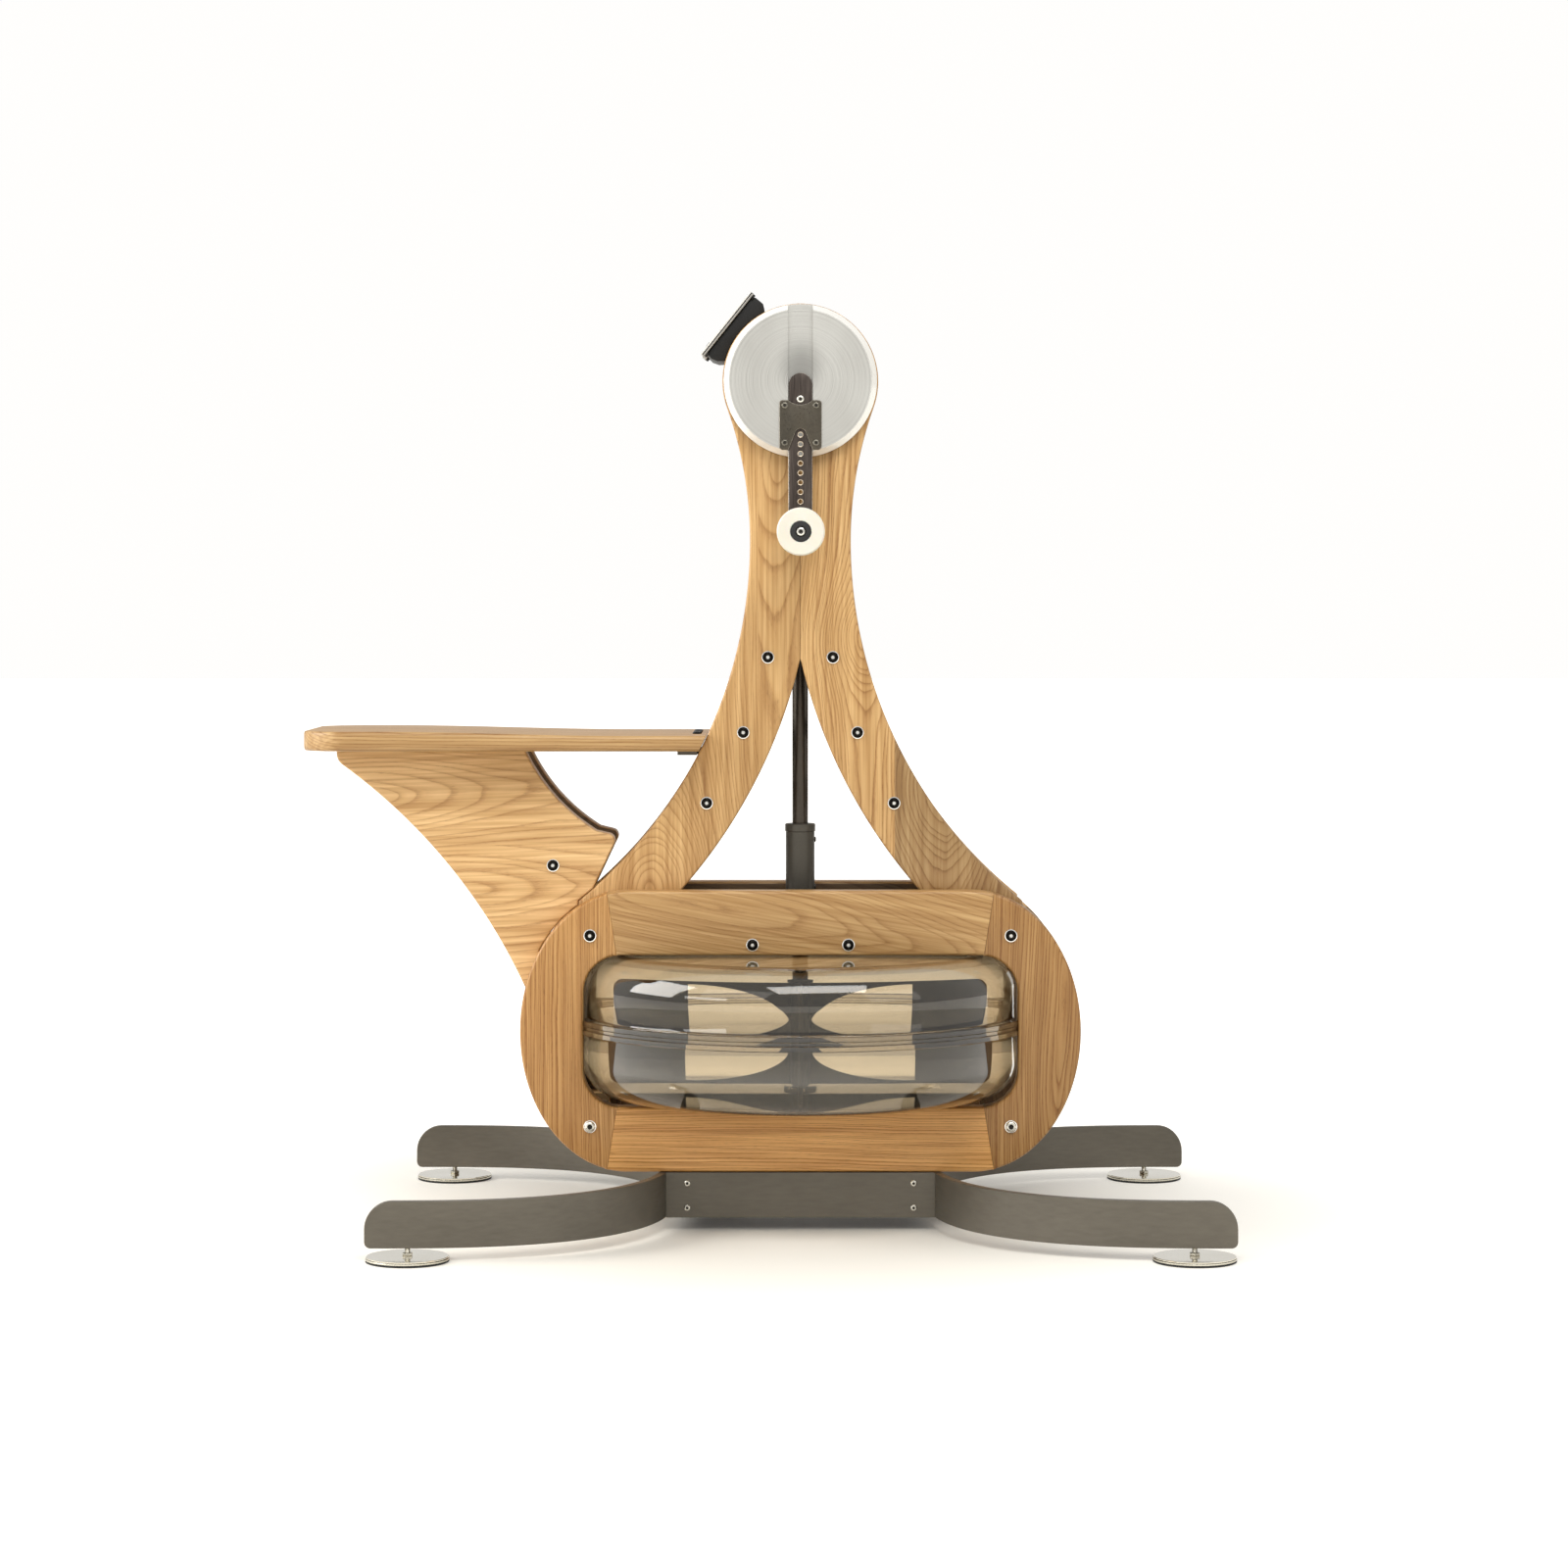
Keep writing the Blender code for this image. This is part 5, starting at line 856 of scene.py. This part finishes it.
turned("paddle_hub_and_stem", hub, (axis_x, 0, 0), (0, 0, 1), paddle_metal, "drivetrain",
       "paddle_metal", "paddle", sides=64)


# Drive: a dark steel shaft from the tank up into the head, with a coated sleeve that couples it
# to the paddle's stem, two set screws in the sleeve, and a wooden block round it inside the neck.
shaft_steel = steel("dark_round_shaft", (58, 52, 45), (80, 73, 64), 0.33, 0.7,
                    (20, 20, 4), (60, 60, 4))
shaft_foot, shaft_top = 406.7, 1000 * shaft_high.z
shaft = [(0, shaft_foot), (stem_radius, shaft_foot), (stem_radius, shaft_top - 0.6),
         (stem_radius - 0.6, shaft_top), (0, shaft_top)]
turned("upright_shaft", shaft, (axis_x, 0, 0), (0, 0, 1), shaft_steel, "drivetrain",
       "shaft_steel", "drive_shaft", sides=64)
sleeve_coat = steel("sleeve_coat", (66, 62, 54), (84, 80, 71), 0.42, 0.4, 12, 50)
sleeve_bore, collar, waist = 9.4, 17.6, 16.8
sleeve = [(sleeve_bore, 456.6), (collar - 1, 456.6), (collar, 455.6), (collar, 448),
          (waist, 447.2), (waist, 365.4), (collar, 364.6), (collar, 357), (collar - 1, 356),
          (sleeve_bore, 356), (sleeve_bore, 456.6)]
turned("coupling_tube", sleeve, (axis_x, 0, 0), (0, 0, 1), sleeve_coat, "drivetrain",
       "sleeve_steel", "coupling_sleeve", sides=72)
for label, z in (("upper", 0.4380), ("lower", 0.3835)):
    screw(f"sleeve_screw_{label}", (axis_x + 0.0166, 0, z), (1, 0, 0), (3.0, 1.8, 1.3), 6,
          spacer_black, "drivetrain", "sleeve_steel")
dress(carrier_ash_painted_shade, "shaft_bearing_block")
dress(steel("machined_gear_steel", (118, 115, 108), (160, 157, 150), 0.35, 1.0, 40),
      "bevel_gear", "bevel_pinion", "crank_shaft", "crank_bearing_front", "crank_bearing_rear")


# Head band: a curved strip of ash that closes the head between its front and rear boards. It is
# left open at the neck, where the shaft comes up.
band_start, band_end, band_half = -42, 222, 0.0329
band = np.concatenate([
    sweep((0, crank_height), head_radius - 0.0006, band_start, band_end, 110),
    sweep((0, crank_height), head_radius - 0.0116, band_end, band_start, 110)])
band_ash = ash("ash_head_band", 0.0, (0.6, 0.05, 0.0, 0.5, 0.02, 0.0045, 1.0), seed=4.0)
board("head_band_strip", band, 0.0004, -band_half, band_half, band_ash, "frame", "head_wood",
      "head_band", steps=2)


# Crank discs: turned aluminium plates with a broad bright bevel, milled right across with the
# channel that an arm slides in. The face is finely brushed and the bevel is polished, and the
# bevel's near-white colour is a painted highlight.
disc_radius, disc_face_radius, disc_bevel, disc_back, disc_face = (0.0874, 0.0813, 0.009,
                                                                   0.0660, 0.0860)
channel_half, channel_floor, channel_chamfer, dark_reflection_height = 0.0142, 0.0774, 0.0008, 0.981


def brushed_disc():
    """Turned, brushed aluminium: rings of tone, a slow cloud and a painted dark reflection above
    the arm.
    """
    made, node, feed = finish_nodes("brushed_crank_disc", Roughness=0.34, Metallic=1.0)

    def distance(scale, height):
        """How far a point lies from the disc's middle line, or from the painted reflection's middle
        above it.
        """
        away = scaled_place(node, scale, (-axis_x, 0, -height))
        return node("VectorMath", {0: away}, operation="LENGTH").outputs["Value"]

    lines = node("TexNoise", {"W": distance((1, 0, 1), crank_height), "Scale": 900.0,
                              "Detail": 3.0}, noise_dimensions="1D").outputs["Fac"]
    tone = node("Mix", {"Factor": 0.35, 2: noise(node, (14, 14, 7), 1.0, 2.0), 3: lines},
                data_type="FLOAT")
    tones = ramp(node, tone.outputs[0], (0.3, (180, 178, 172)), (0.7, (204, 203, 197)))
    # A painted dark reflection: the colour is darkened to 0.62 in a soft patch just above the arm.
    painted_reflection = node("MapRange", {"Value": distance((1, 0, 0.8), dark_reflection_height), "From Min": 0.004,
                               "From Max": 0.034, "To Min": 0.62},
                  interpolation_type="SMOOTHSTEP")
    tones = node("HueSaturation", {"Value": painted_reflection.outputs["Result"], "Color": tones})
    feed("Base Color", tones.outputs["Color"])
    rough = node("MapRange", {"Value": lines, "From Min": 0.3, "From Max": 0.7,
                              "To Min": 0.28, "To Max": 0.42})
    feed("Roughness", rough.outputs["Result"])
    relief(node, feed, lines, 0.3, 0.03)
    return made


def milled_disc(name, side, *looks):
    """Chords across the disc, each a section from back to face, carried from left to right.

    At x the back's half chord is sqrt(R^2 - x^2) and the face's is sqrt(r^2 - x^2), and between
    them the bevel's radius runs evenly from R to r. Within the channel the face lies at the
    channel's floor. Columns go round the section of each chord.
    """
    nudge = 1e-5
    back_round = disc_radius * np.sin(np.radians(np.linspace(-90, -68.5, 24)))[:-1]
    face_round = disc_face_radius * np.sin(np.radians(np.linspace(-89.99, -10.07, 60)))
    lips = [-channel_half - channel_chamfer, -channel_half, -channel_half + nudge]
    outer = np.concatenate([back_round, face_round, lips])
    inner = np.linspace(-channel_half + nudge, channel_half - nudge, 12)[1:-1]
    x = np.sort(np.concatenate([outer, inner, -outer]))
    off = np.abs(x)
    deep = np.where(off < channel_half + nudge / 2, disc_face - channel_chamfer, disc_face)
    deep = np.where(off < channel_half - nudge / 2, channel_floor, deep)
    slope, taper = disc_face - disc_bevel, disc_radius - disc_face_radius
    lone = slope + disc_bevel * (disc_radius - off) / taper
    top = np.where(off > disc_face_radius, lone, deep)
    rise = slope + (top - slope)[:, None] * np.linspace(0, 1, 9)
    level = disc_radius - taper * (rise - slope) / disc_bevel
    rise_z = np.sqrt(np.clip(level**2 - x[:, None] ** 2, 0, None))
    back, back_z = np.full((len(x), 1), disc_back), np.sqrt(np.clip(disc_radius**2 - x**2, 0, None))
    y = np.concatenate([back, rise, rise[:, ::-1], back], 1)
    z = np.concatenate([back_z[:, None], rise_z, -rise_z[:, ::-1], -back_z[:, None]], 1)
    grid = np.stack([np.broadcast_to(axis_x + x[:, None], y.shape), side * y, crank_height + z], -1)
    return skin(name, grid, *looks, sharp=25.0)


def edge_finish(made, finish):
    """The faces that slope between a plate's flat face and its sides take their own, lighter
    finish: a painted highlight along the edge.
    """
    made.data.materials.append(finish)
    slope = np.zeros(3 * len(made.data.polygons))
    made.data.polygons.foreach_get("normal", slope)
    facing = np.abs(slope[1::3])
    bevels = (facing > 0.2) & (facing < 0.85)
    made.data.polygons.foreach_set("material_index", bevels.astype(int))


disc_metal = brushed_disc()
# The bevel is polished aluminium, and its near-white, mostly diffuse colour is a painted highlight.
bevel_highlight_metal = steel("polished_bevel_painted_highlight", (246, 243, 235), (252, 250, 244), 0.2, 0.25,
                    20, 60, 0.01, 0.05)
for end, side in ends:
    edge_finish(milled_disc(f"milled_disc_{end}", side, disc_metal, "crank", "disc_aluminium",
                            f"crank_disc_{end}"), bevel_highlight_metal)


# Crank arms: flat dark steel bars with round ends and a row of drilled holes, which slide in the
# discs' channels. Each has a bright stop screw near its top and the grip's pin at its foot.
arm_steel = steel("dark_brushed_bar", (56, 49, 45), (96, 87, 81), 0.36, 0.85,
                  (60, 60, 6), (90, 90, 4), 0.05)
# The drilled holes' chamfered rims are bare steel, and their colour is made brighter and warmer
# still as a painted highlight.
hole_rim_highlight = steel("hole_rims_painted_highlight", (188, 172, 150), (222, 206, 184), 0.3, 1.0, 80)
# The arm's rounded edges are lighter than the bar: a painted highlight along its rim.
bar_edge_highlight = steel("painted_highlight_bar_edge", (150, 145, 138), (205, 200, 192), 0.25, 1.0, 80)
arm_half, arm_top, arm_back, arm_face = 0.01365, 0.9741, 0.0777, 0.0857
grip_z, stop_z, pin_sunk = 0.7914, 0.9441, 0.0002
arm = np.concatenate([sweep((0, arm_top - arm_half), arm_half, 0, 180, 33),
                      sweep((0, grip_z), arm_half, 180, 360, 33)])
hole_heights = 0.9036 - 0.01088 * np.arange(8)
arm_holes = [sweep((0, z), 0.0025, 0, 360 * 23 / 24, 24) for z in hole_heights]
rim = [(2.5, 0), (3.4, 0), (3.2, 0.25), (2.5, 0.1), (2.5, 0)]
pin = [(0, 0), (6, 0), (6, 115), (0, 115)]
for end, side in ends:
    on_arm, out = (f"arm_{end}", "arm_steel"), (0, side, 0)
    bar = board(f"arm_bar_{end}", arm, 0.0008, side * arm_back, side * arm_face, arm_steel,
                *on_arm, f"crank_arm_{end}", holes=arm_holes, steps=3)
    edge_finish(bar, bar_edge_highlight)
    for number, z in enumerate(hole_heights):
        turned(f"arm_hole_rim_{end}_{number}", rim, (axis_x, side * arm_face, z), out, hole_rim_highlight,
               *on_arm, sides=32)
    screw(f"arm_stop_screw_{end}", (axis_x, side * arm_face, stop_z), out, (4.3, 1.5, 1.8), 4,
          screw_steel, *on_arm)
    turned(f"grip_pin_{end}", pin, (axis_x, side * (arm_face - pin_sunk), grip_z), out,
           shaft_steel, *on_arm, sides=40)


# Clamp plates: coated steel plates over the channels, screwed to the discs at four corners. The
# top edge dips round the stop screw and the lower edge has an arch over the drilled holes.
clamp_coat = steel("clamp_coat", (60, 55, 45), (78, 71, 59), 0.38, 0.4, 30)
dulled_steel = steel("dulled_screws", (92, 88, 78), (132, 127, 115), 0.3, 0.8, 80)
# The plate's bevelled edges are lighter than its coat: a painted highlight along the rim.
clamp_edge_highlight = steel("painted_highlight_clamp_edge", (120, 114, 102), (168, 162, 150), 0.3, 0.8, 80)
clamp_half, corner, dip_half, dip, clamp_back, clamp_face = (0.0242, 0.004, 0.0139, 0.0053,
                                                             0.0863, 0.0893)
clamp_top, clamp_low, arch_top, arch_radius = 0.9429, 0.8861, 0.9103, 0.0062
clamp_screw_x, clamp_screw_rows = 0.0178, (("upper", 0.9368), ("lower", 0.8943))
dip_radius = (dip_half**2 + dip**2) / (2 * dip)
dip_angle = np.degrees(np.arcsin(dip_half / dip_radius))
right, low, high = clamp_half - corner, clamp_low + corner, clamp_top - corner
clamp = np.concatenate([
    sweep((right, low), corner, -90, 0, 8), sweep((right, high), corner, 0, 90, 8),
    sweep((0, clamp_top - dip + dip_radius), dip_radius, -90 + dip_angle, -90 - dip_angle, 24),
    sweep((-right, high), corner, 90, 180, 8), sweep((-right, low), corner, 180, 270, 8),
    [(-arm_half, clamp_low)], sweep((0, arch_top - arch_radius), arch_radius, 165, 15, 20),
    [(arm_half, clamp_low)]])
for end, side in ends:
    plate = board(f"clamp_cover_{end}", clamp, 0.0010, side * clamp_back, side * clamp_face,
                  clamp_coat, "crank", "clamp_steel", f"clamp_plate_{end}", steps=3)
    edge_finish(plate, clamp_edge_highlight)
    for hand, sign in hands:
        for level, z in clamp_screw_rows:
            screw(f"clamp_screw_{end}_{hand}_{level}",
                  (axis_x + sign * clamp_screw_x, side * clamp_face, z), (0, side, 0),
                  (3.7, 1.3, 1.7), 4, dulled_steel, "crank", "clamp_steel")


# Grips: spool-shaped handles of ivory plastic that turn on the arms' pins, each held by a black
# washer and a bright screw in a recess in its end.
def ivory_finish():
    """Ivory plastic: nearly white, satin, with a faint cloud and a very fine grain."""
    made, node, feed = finish_nodes("ivory_plastic", Roughness=0.36, Subsurface_Weight=0.15,
                                    Subsurface_Scale=0.004)
    feed("Base Color", ramp(node, noise(node, 30, 1.0, 2.0), (0.3, (226, 220, 205)),
                            (0.7, (232, 227, 213))))
    relief(node, feed, noise(node, 1, 1500.0), 0.2, 0.03)
    return made


ivory, black_ring = ivory_finish(), black_rubber("black_washer", 20)
grip_start, grip_screw = 0.0896, 0.1108
key_radii = np.array([22, 23.5, 23.5, 20, 17.5, 17.8, 18.5, 17.8, 17.5, 21.9, 26.7, 26.7, 25.2])
key_depths = np.array([0, 1.5, 7, 12, 24, 40, 57.5, 75, 89, 101, 107, 113.5, 115])


def spool(count=121, first_soft=2, last_soft=9):
    """A line through the key radii, whose soft spans are eased by s^2 (3 - 2 s)."""
    place = np.linspace(0, len(key_radii) - 1, count)
    span = np.minimum(place.astype(int), len(key_radii) - 2)
    share = place - span
    soft = (span >= first_soft) & (span <= last_soft)
    eased = np.where(soft, share * share * (3 - 2 * share), share)
    return np.stack([keys[span] * (1 - part) + keys[span + 1] * part
                     for keys, part in ((key_radii, eased), (key_depths, share))], axis=1)


grip_bore, recess, grip_end = 6.3, 11.9, 115.0
handle = np.concatenate([[(grip_bore, 0)], spool(), [
    (recess + 0.5, grip_end), (recess, grip_end - 0.4), (recess, 110.7), (grip_bore, 110.7),
    (grip_bore, 0)]])
end_washer = [(6.0, 111), (11.6, 111), (11.6, 114.6), (11.0, grip_end), (6.6, grip_end),
              (6.0, 114.4), (6.0, 111)]
for end, side in ends:
    start, out = (axis_x, side * grip_start, grip_z), (0, side, 0)
    turned(f"grip_spool_{end}", handle, start, out, ivory, f"grip_{end}", "grip_plastic",
           f"grip_{end}")
    turned(f"grip_washer_{end}", end_washer, start, out, black_ring, f"arm_{end}", "arm_steel",
           sides=64)
    screw(f"grip_screw_{end}", (axis_x, side * (grip_start + grip_screw), grip_z), out,
          (5.6, 3.6, 2.2), 6, screw_steel, f"arm_{end}", "arm_steel")


# Monitor: a black moulded case shaped to sit on the head, with a thin light-edged front panel,
# a dark display window, a row of three push buttons and four small dark knobs behind the panel.
case_black = black_rubber("black_moulded_case", 7, Roughness=0.55, Specular_IOR_Level=0.3)
panel_light = steel("light_panel_edge", (222, 220, 214), (230, 228, 223), 0.35, 0.0, 10, 40, 0.01)
panel_grey = steel("grey_panel_back", (150, 147, 140), (160, 157, 150), 0.4, 0.0, 10, 40, 0.01)
low_end, high_end = np.array([-0.1143, 0.9986]), np.array([-0.0572, 1.0702])
panel_half, panel_half_width = np.linalg.norm(high_end - low_end) / 2, 0.045
up_panel = (high_end - low_end) / (2 * panel_half)
out_panel = np.array([-up_panel[1], up_panel[0]])
panel_middle = (low_end + high_end) / 2


def on_panel(points):
    """From (up the panel, across it, out of its face) to its place on the machine."""
    flat = panel_middle + points[:, :1] * up_panel + points[:, 2:] * out_panel
    return np.stack([axis_x + flat[:, 0], points[:, 1], flat[:, 1]], axis=1)


case_inset, case_back, case_half = 0.0045, -0.0053, 0.040
case_low, case_high = (panel_middle + along * up_panel + case_back * out_panel
                       for along in (case_inset - panel_half, panel_half - case_inset))
case = np.concatenate([
    [case_low, (-0.1059, 0.9967), (-0.1016, 0.9924), (-0.0945, 0.9899)],
    sweep((0, crank_height), head_radius + 0.0006, 163.9, 117, 30),
    [(-0.0413, 1.0502), (-0.0428, 1.0559), (-0.0512, 1.0629), case_high]])
board("monitor_case", case, 0.0016, -case_half, case_half, case_black, "frame", "monitor_case",
      "monitor_body")
panel_shape = rounded_rectangle((-panel_half, -panel_half_width), (panel_half, panel_half_width),
                                0.003)
button_row, button_spots = 0.014 - panel_half, (("left", -0.024), ("middle", 0.0), ("right", 0.024))
button_holes = [sweep((button_row, y), 0.0048, 0, 360 * 31 / 32, 32) for _, y in button_spots]
for label, low, high, finish, inward in (
        ("back", -0.0050, -0.0030, panel_grey, 0.0), ("core", -0.0030, -0.0018, case_black, 0.0002),
        ("face", -0.0018, 0.0, panel_light, 0.0)):
    board(f"monitor_panel_{label}", panel_shape * (1 - inward / panel_half_width), 0.0003, low,
          high, finish, "frame", "monitor_screen", "monitor_screen" if label == "face" else None,
          holes=button_holes, place=on_panel, steps=2)
# The display is a dark glossy window with a slight green-grey cast.
display_glass, node, feed = finish_nodes("display_window", Roughness=0.08, Coat_Weight=0.5)
feed("Base Color", ramp(node, noise(node, 20), (0.3, (30, 33, 31)), (0.7, (44, 48, 45))))
display = rounded_rectangle((-0.018, -0.037), (0.034, 0.037), 0.0025)
board("monitor_display", display, 0.0002, -0.0003, 0.0002, display_glass, "frame",
      "monitor_screen", place=on_panel, steps=2)
button = [(0, 0), (4.5, 0), (4.5, 2.8), (4.1, 3.4), (3.0, 3.7), (0, 3.8)]
knob = [(0, 0), (3.0, 0), (3.2, 0.6), (3.2, 2.2), (2.6, 2.8), (0, 2.9)]
facing = np.array((out_panel[0], 0, out_panel[1]))
button_foot, knob_foot, knob_inset, knob_y = -0.0022, -0.0050, 0.0035, 0.0405
for place, y in button_spots:
    turned(f"push_button_{place}", button, on_panel(np.array([[button_row, y, button_foot]]))[0],
           facing, black_ring, f"button_{place}", "button_plastic", f"button_{place}", sides=40)
for level, along in (("lower", knob_inset - panel_half), ("upper", panel_half - knob_inset)):
    for hand, sign in hands:
        turned(f"panel_knob_{level}_{hand}", knob,
               on_panel(np.array([[along, sign * knob_y, knob_foot]]))[0], -facing, case_black,
               "frame", "monitor_case", sides=32)


# Studio: a plain pale floor and white surroundings, one soft lamp over the front and one to the
# left, three weaker ones round them, and the camera straight in front at chest height.
paper_white, floor_reach = (1.0, 0.992, 0.978, 1.0), 30.0


def floor_paper():
    """White floor, with a glow for the camera that rises away from the object to full white."""
    made, node, feed = finish_nodes("white_floor", Roughness=0.6, Emission_Color=paper_white)
    feed("Base Color", ramp(node, noise(node, 3, 1.0, 2.0), (0.3, (238.6, 233.7, 221.9)),
                            (0.7, (241.0, 236.1, 224.6))))
    rays = node("LightPath").outputs
    seen = rays["Is Camera Ray"]
    for kind in ("Is Glossy Ray", "Is Transmission Ray"):
        seen = node("Math", {0: seen, 1: rays[kind]}, operation="MAXIMUM").outputs[0]
    away = node("VectorMath", {0: scaled_place(node, 1)}, operation="LENGTH").outputs["Value"]
    rise = node("MapRange", {"Value": away, "From Min": 0.15, "From Max": 1.4, "To Min": 0.04},
                interpolation_type="SMOOTHSTEP").outputs["Result"]
    glow = node("Math", {0: seen, 1: rise}, operation="MULTIPLY")
    feed("Emission Strength", glow.outputs[0])
    return made


mesh = bpy.data.meshes.new("studio_floor")
corners = [(x * floor_reach, y * floor_reach, 0) for x, y in ((-1, -1), (1, -1), (1, 1), (-1, 1))]
mesh.from_pydata(corners, [], [(0, 1, 2, 3)])
mesh.materials.append(floor_paper())
floor = bpy.data.objects.new("studio_floor", mesh)
bpy.context.scene.collection.objects.link(floor)

# The air is full white to the camera and through the tank, half of that in reflections, and a
# weaker light on the object.
world = bpy.data.worlds.new("studio_air")
bpy.context.scene.world = world
world.use_nodes = True
air = world.node_tree
node = node_maker(air)
rays = node("LightPath").outputs
seen = node("Math", {0: rays["Is Camera Ray"], 1: rays["Is Transmission Ray"]}, operation="MAXIMUM")
mirrored = node("Math", {0: rays["Is Glossy Ray"], 1: 0.5}, operation="MULTIPLY")
seen = node("Math", {0: seen.outputs[0], 1: mirrored.outputs[0]}, operation="MAXIMUM")
strength = node("MapRange", {"Value": seen.outputs[0], "To Min": 0.42})
air.links.new(strength.outputs["Result"], air.nodes["Background"].inputs["Strength"])
air.nodes["Background"].inputs["Color"].default_value = paper_white


def softbox(name, place, aim, width, height, power):
    """A flat rectangular lamp that looks from one point to another."""
    lamp = bpy.data.lights.new(name, "AREA")
    lamp.shape = "RECTANGLE"
    lamp.size, lamp.size_y, lamp.energy = width, height, power
    made = bpy.data.objects.new(name, lamp)
    made.location = place
    made.rotation_euler = (Vector(aim) - Vector(place)).to_track_quat("-Z", "Y").to_euler()
    bpy.context.scene.collection.objects.link(made)


softbox("lamp_over_front", (0.45, -1.9, 2.55), (0.05, -0.2, 0.35), 2.2, 1.2, 48)
softbox("lamp_left", (-2.3, -0.3, 1.45), (0, -0.1, 0.35), 1.4, 1.5, 42)
softbox("lamp_key", (-2.7, -3.7, 3.0), (0, 0, 0.5), 3.2, 2.4, 20)
softbox("lamp_left_strip", (-2.3, -2.0, 1.05), (0, 0, 0.3), 1.3, 0.35, 6)
softbox("lamp_right", (2.9, -2.4, 1.8), (0, 0, 0.5), 2.0, 2.0, 9)

camera = bpy.data.cameras.new("camera")
camera.lens, camera.sensor_width = 90, 36
camera.shift_x, camera.shift_y = -0.00206, -0.11875
eye = bpy.data.objects.new("camera", camera)
eye.location = (axis_x - 0.015, -4.545, 0.718)
eye.rotation_euler = (np.pi / 2, 0, 0)
bpy.context.scene.collection.objects.link(eye)
bpy.context.scene.camera = eye
bpy.context.scene.view_settings.view_transform = "Standard"
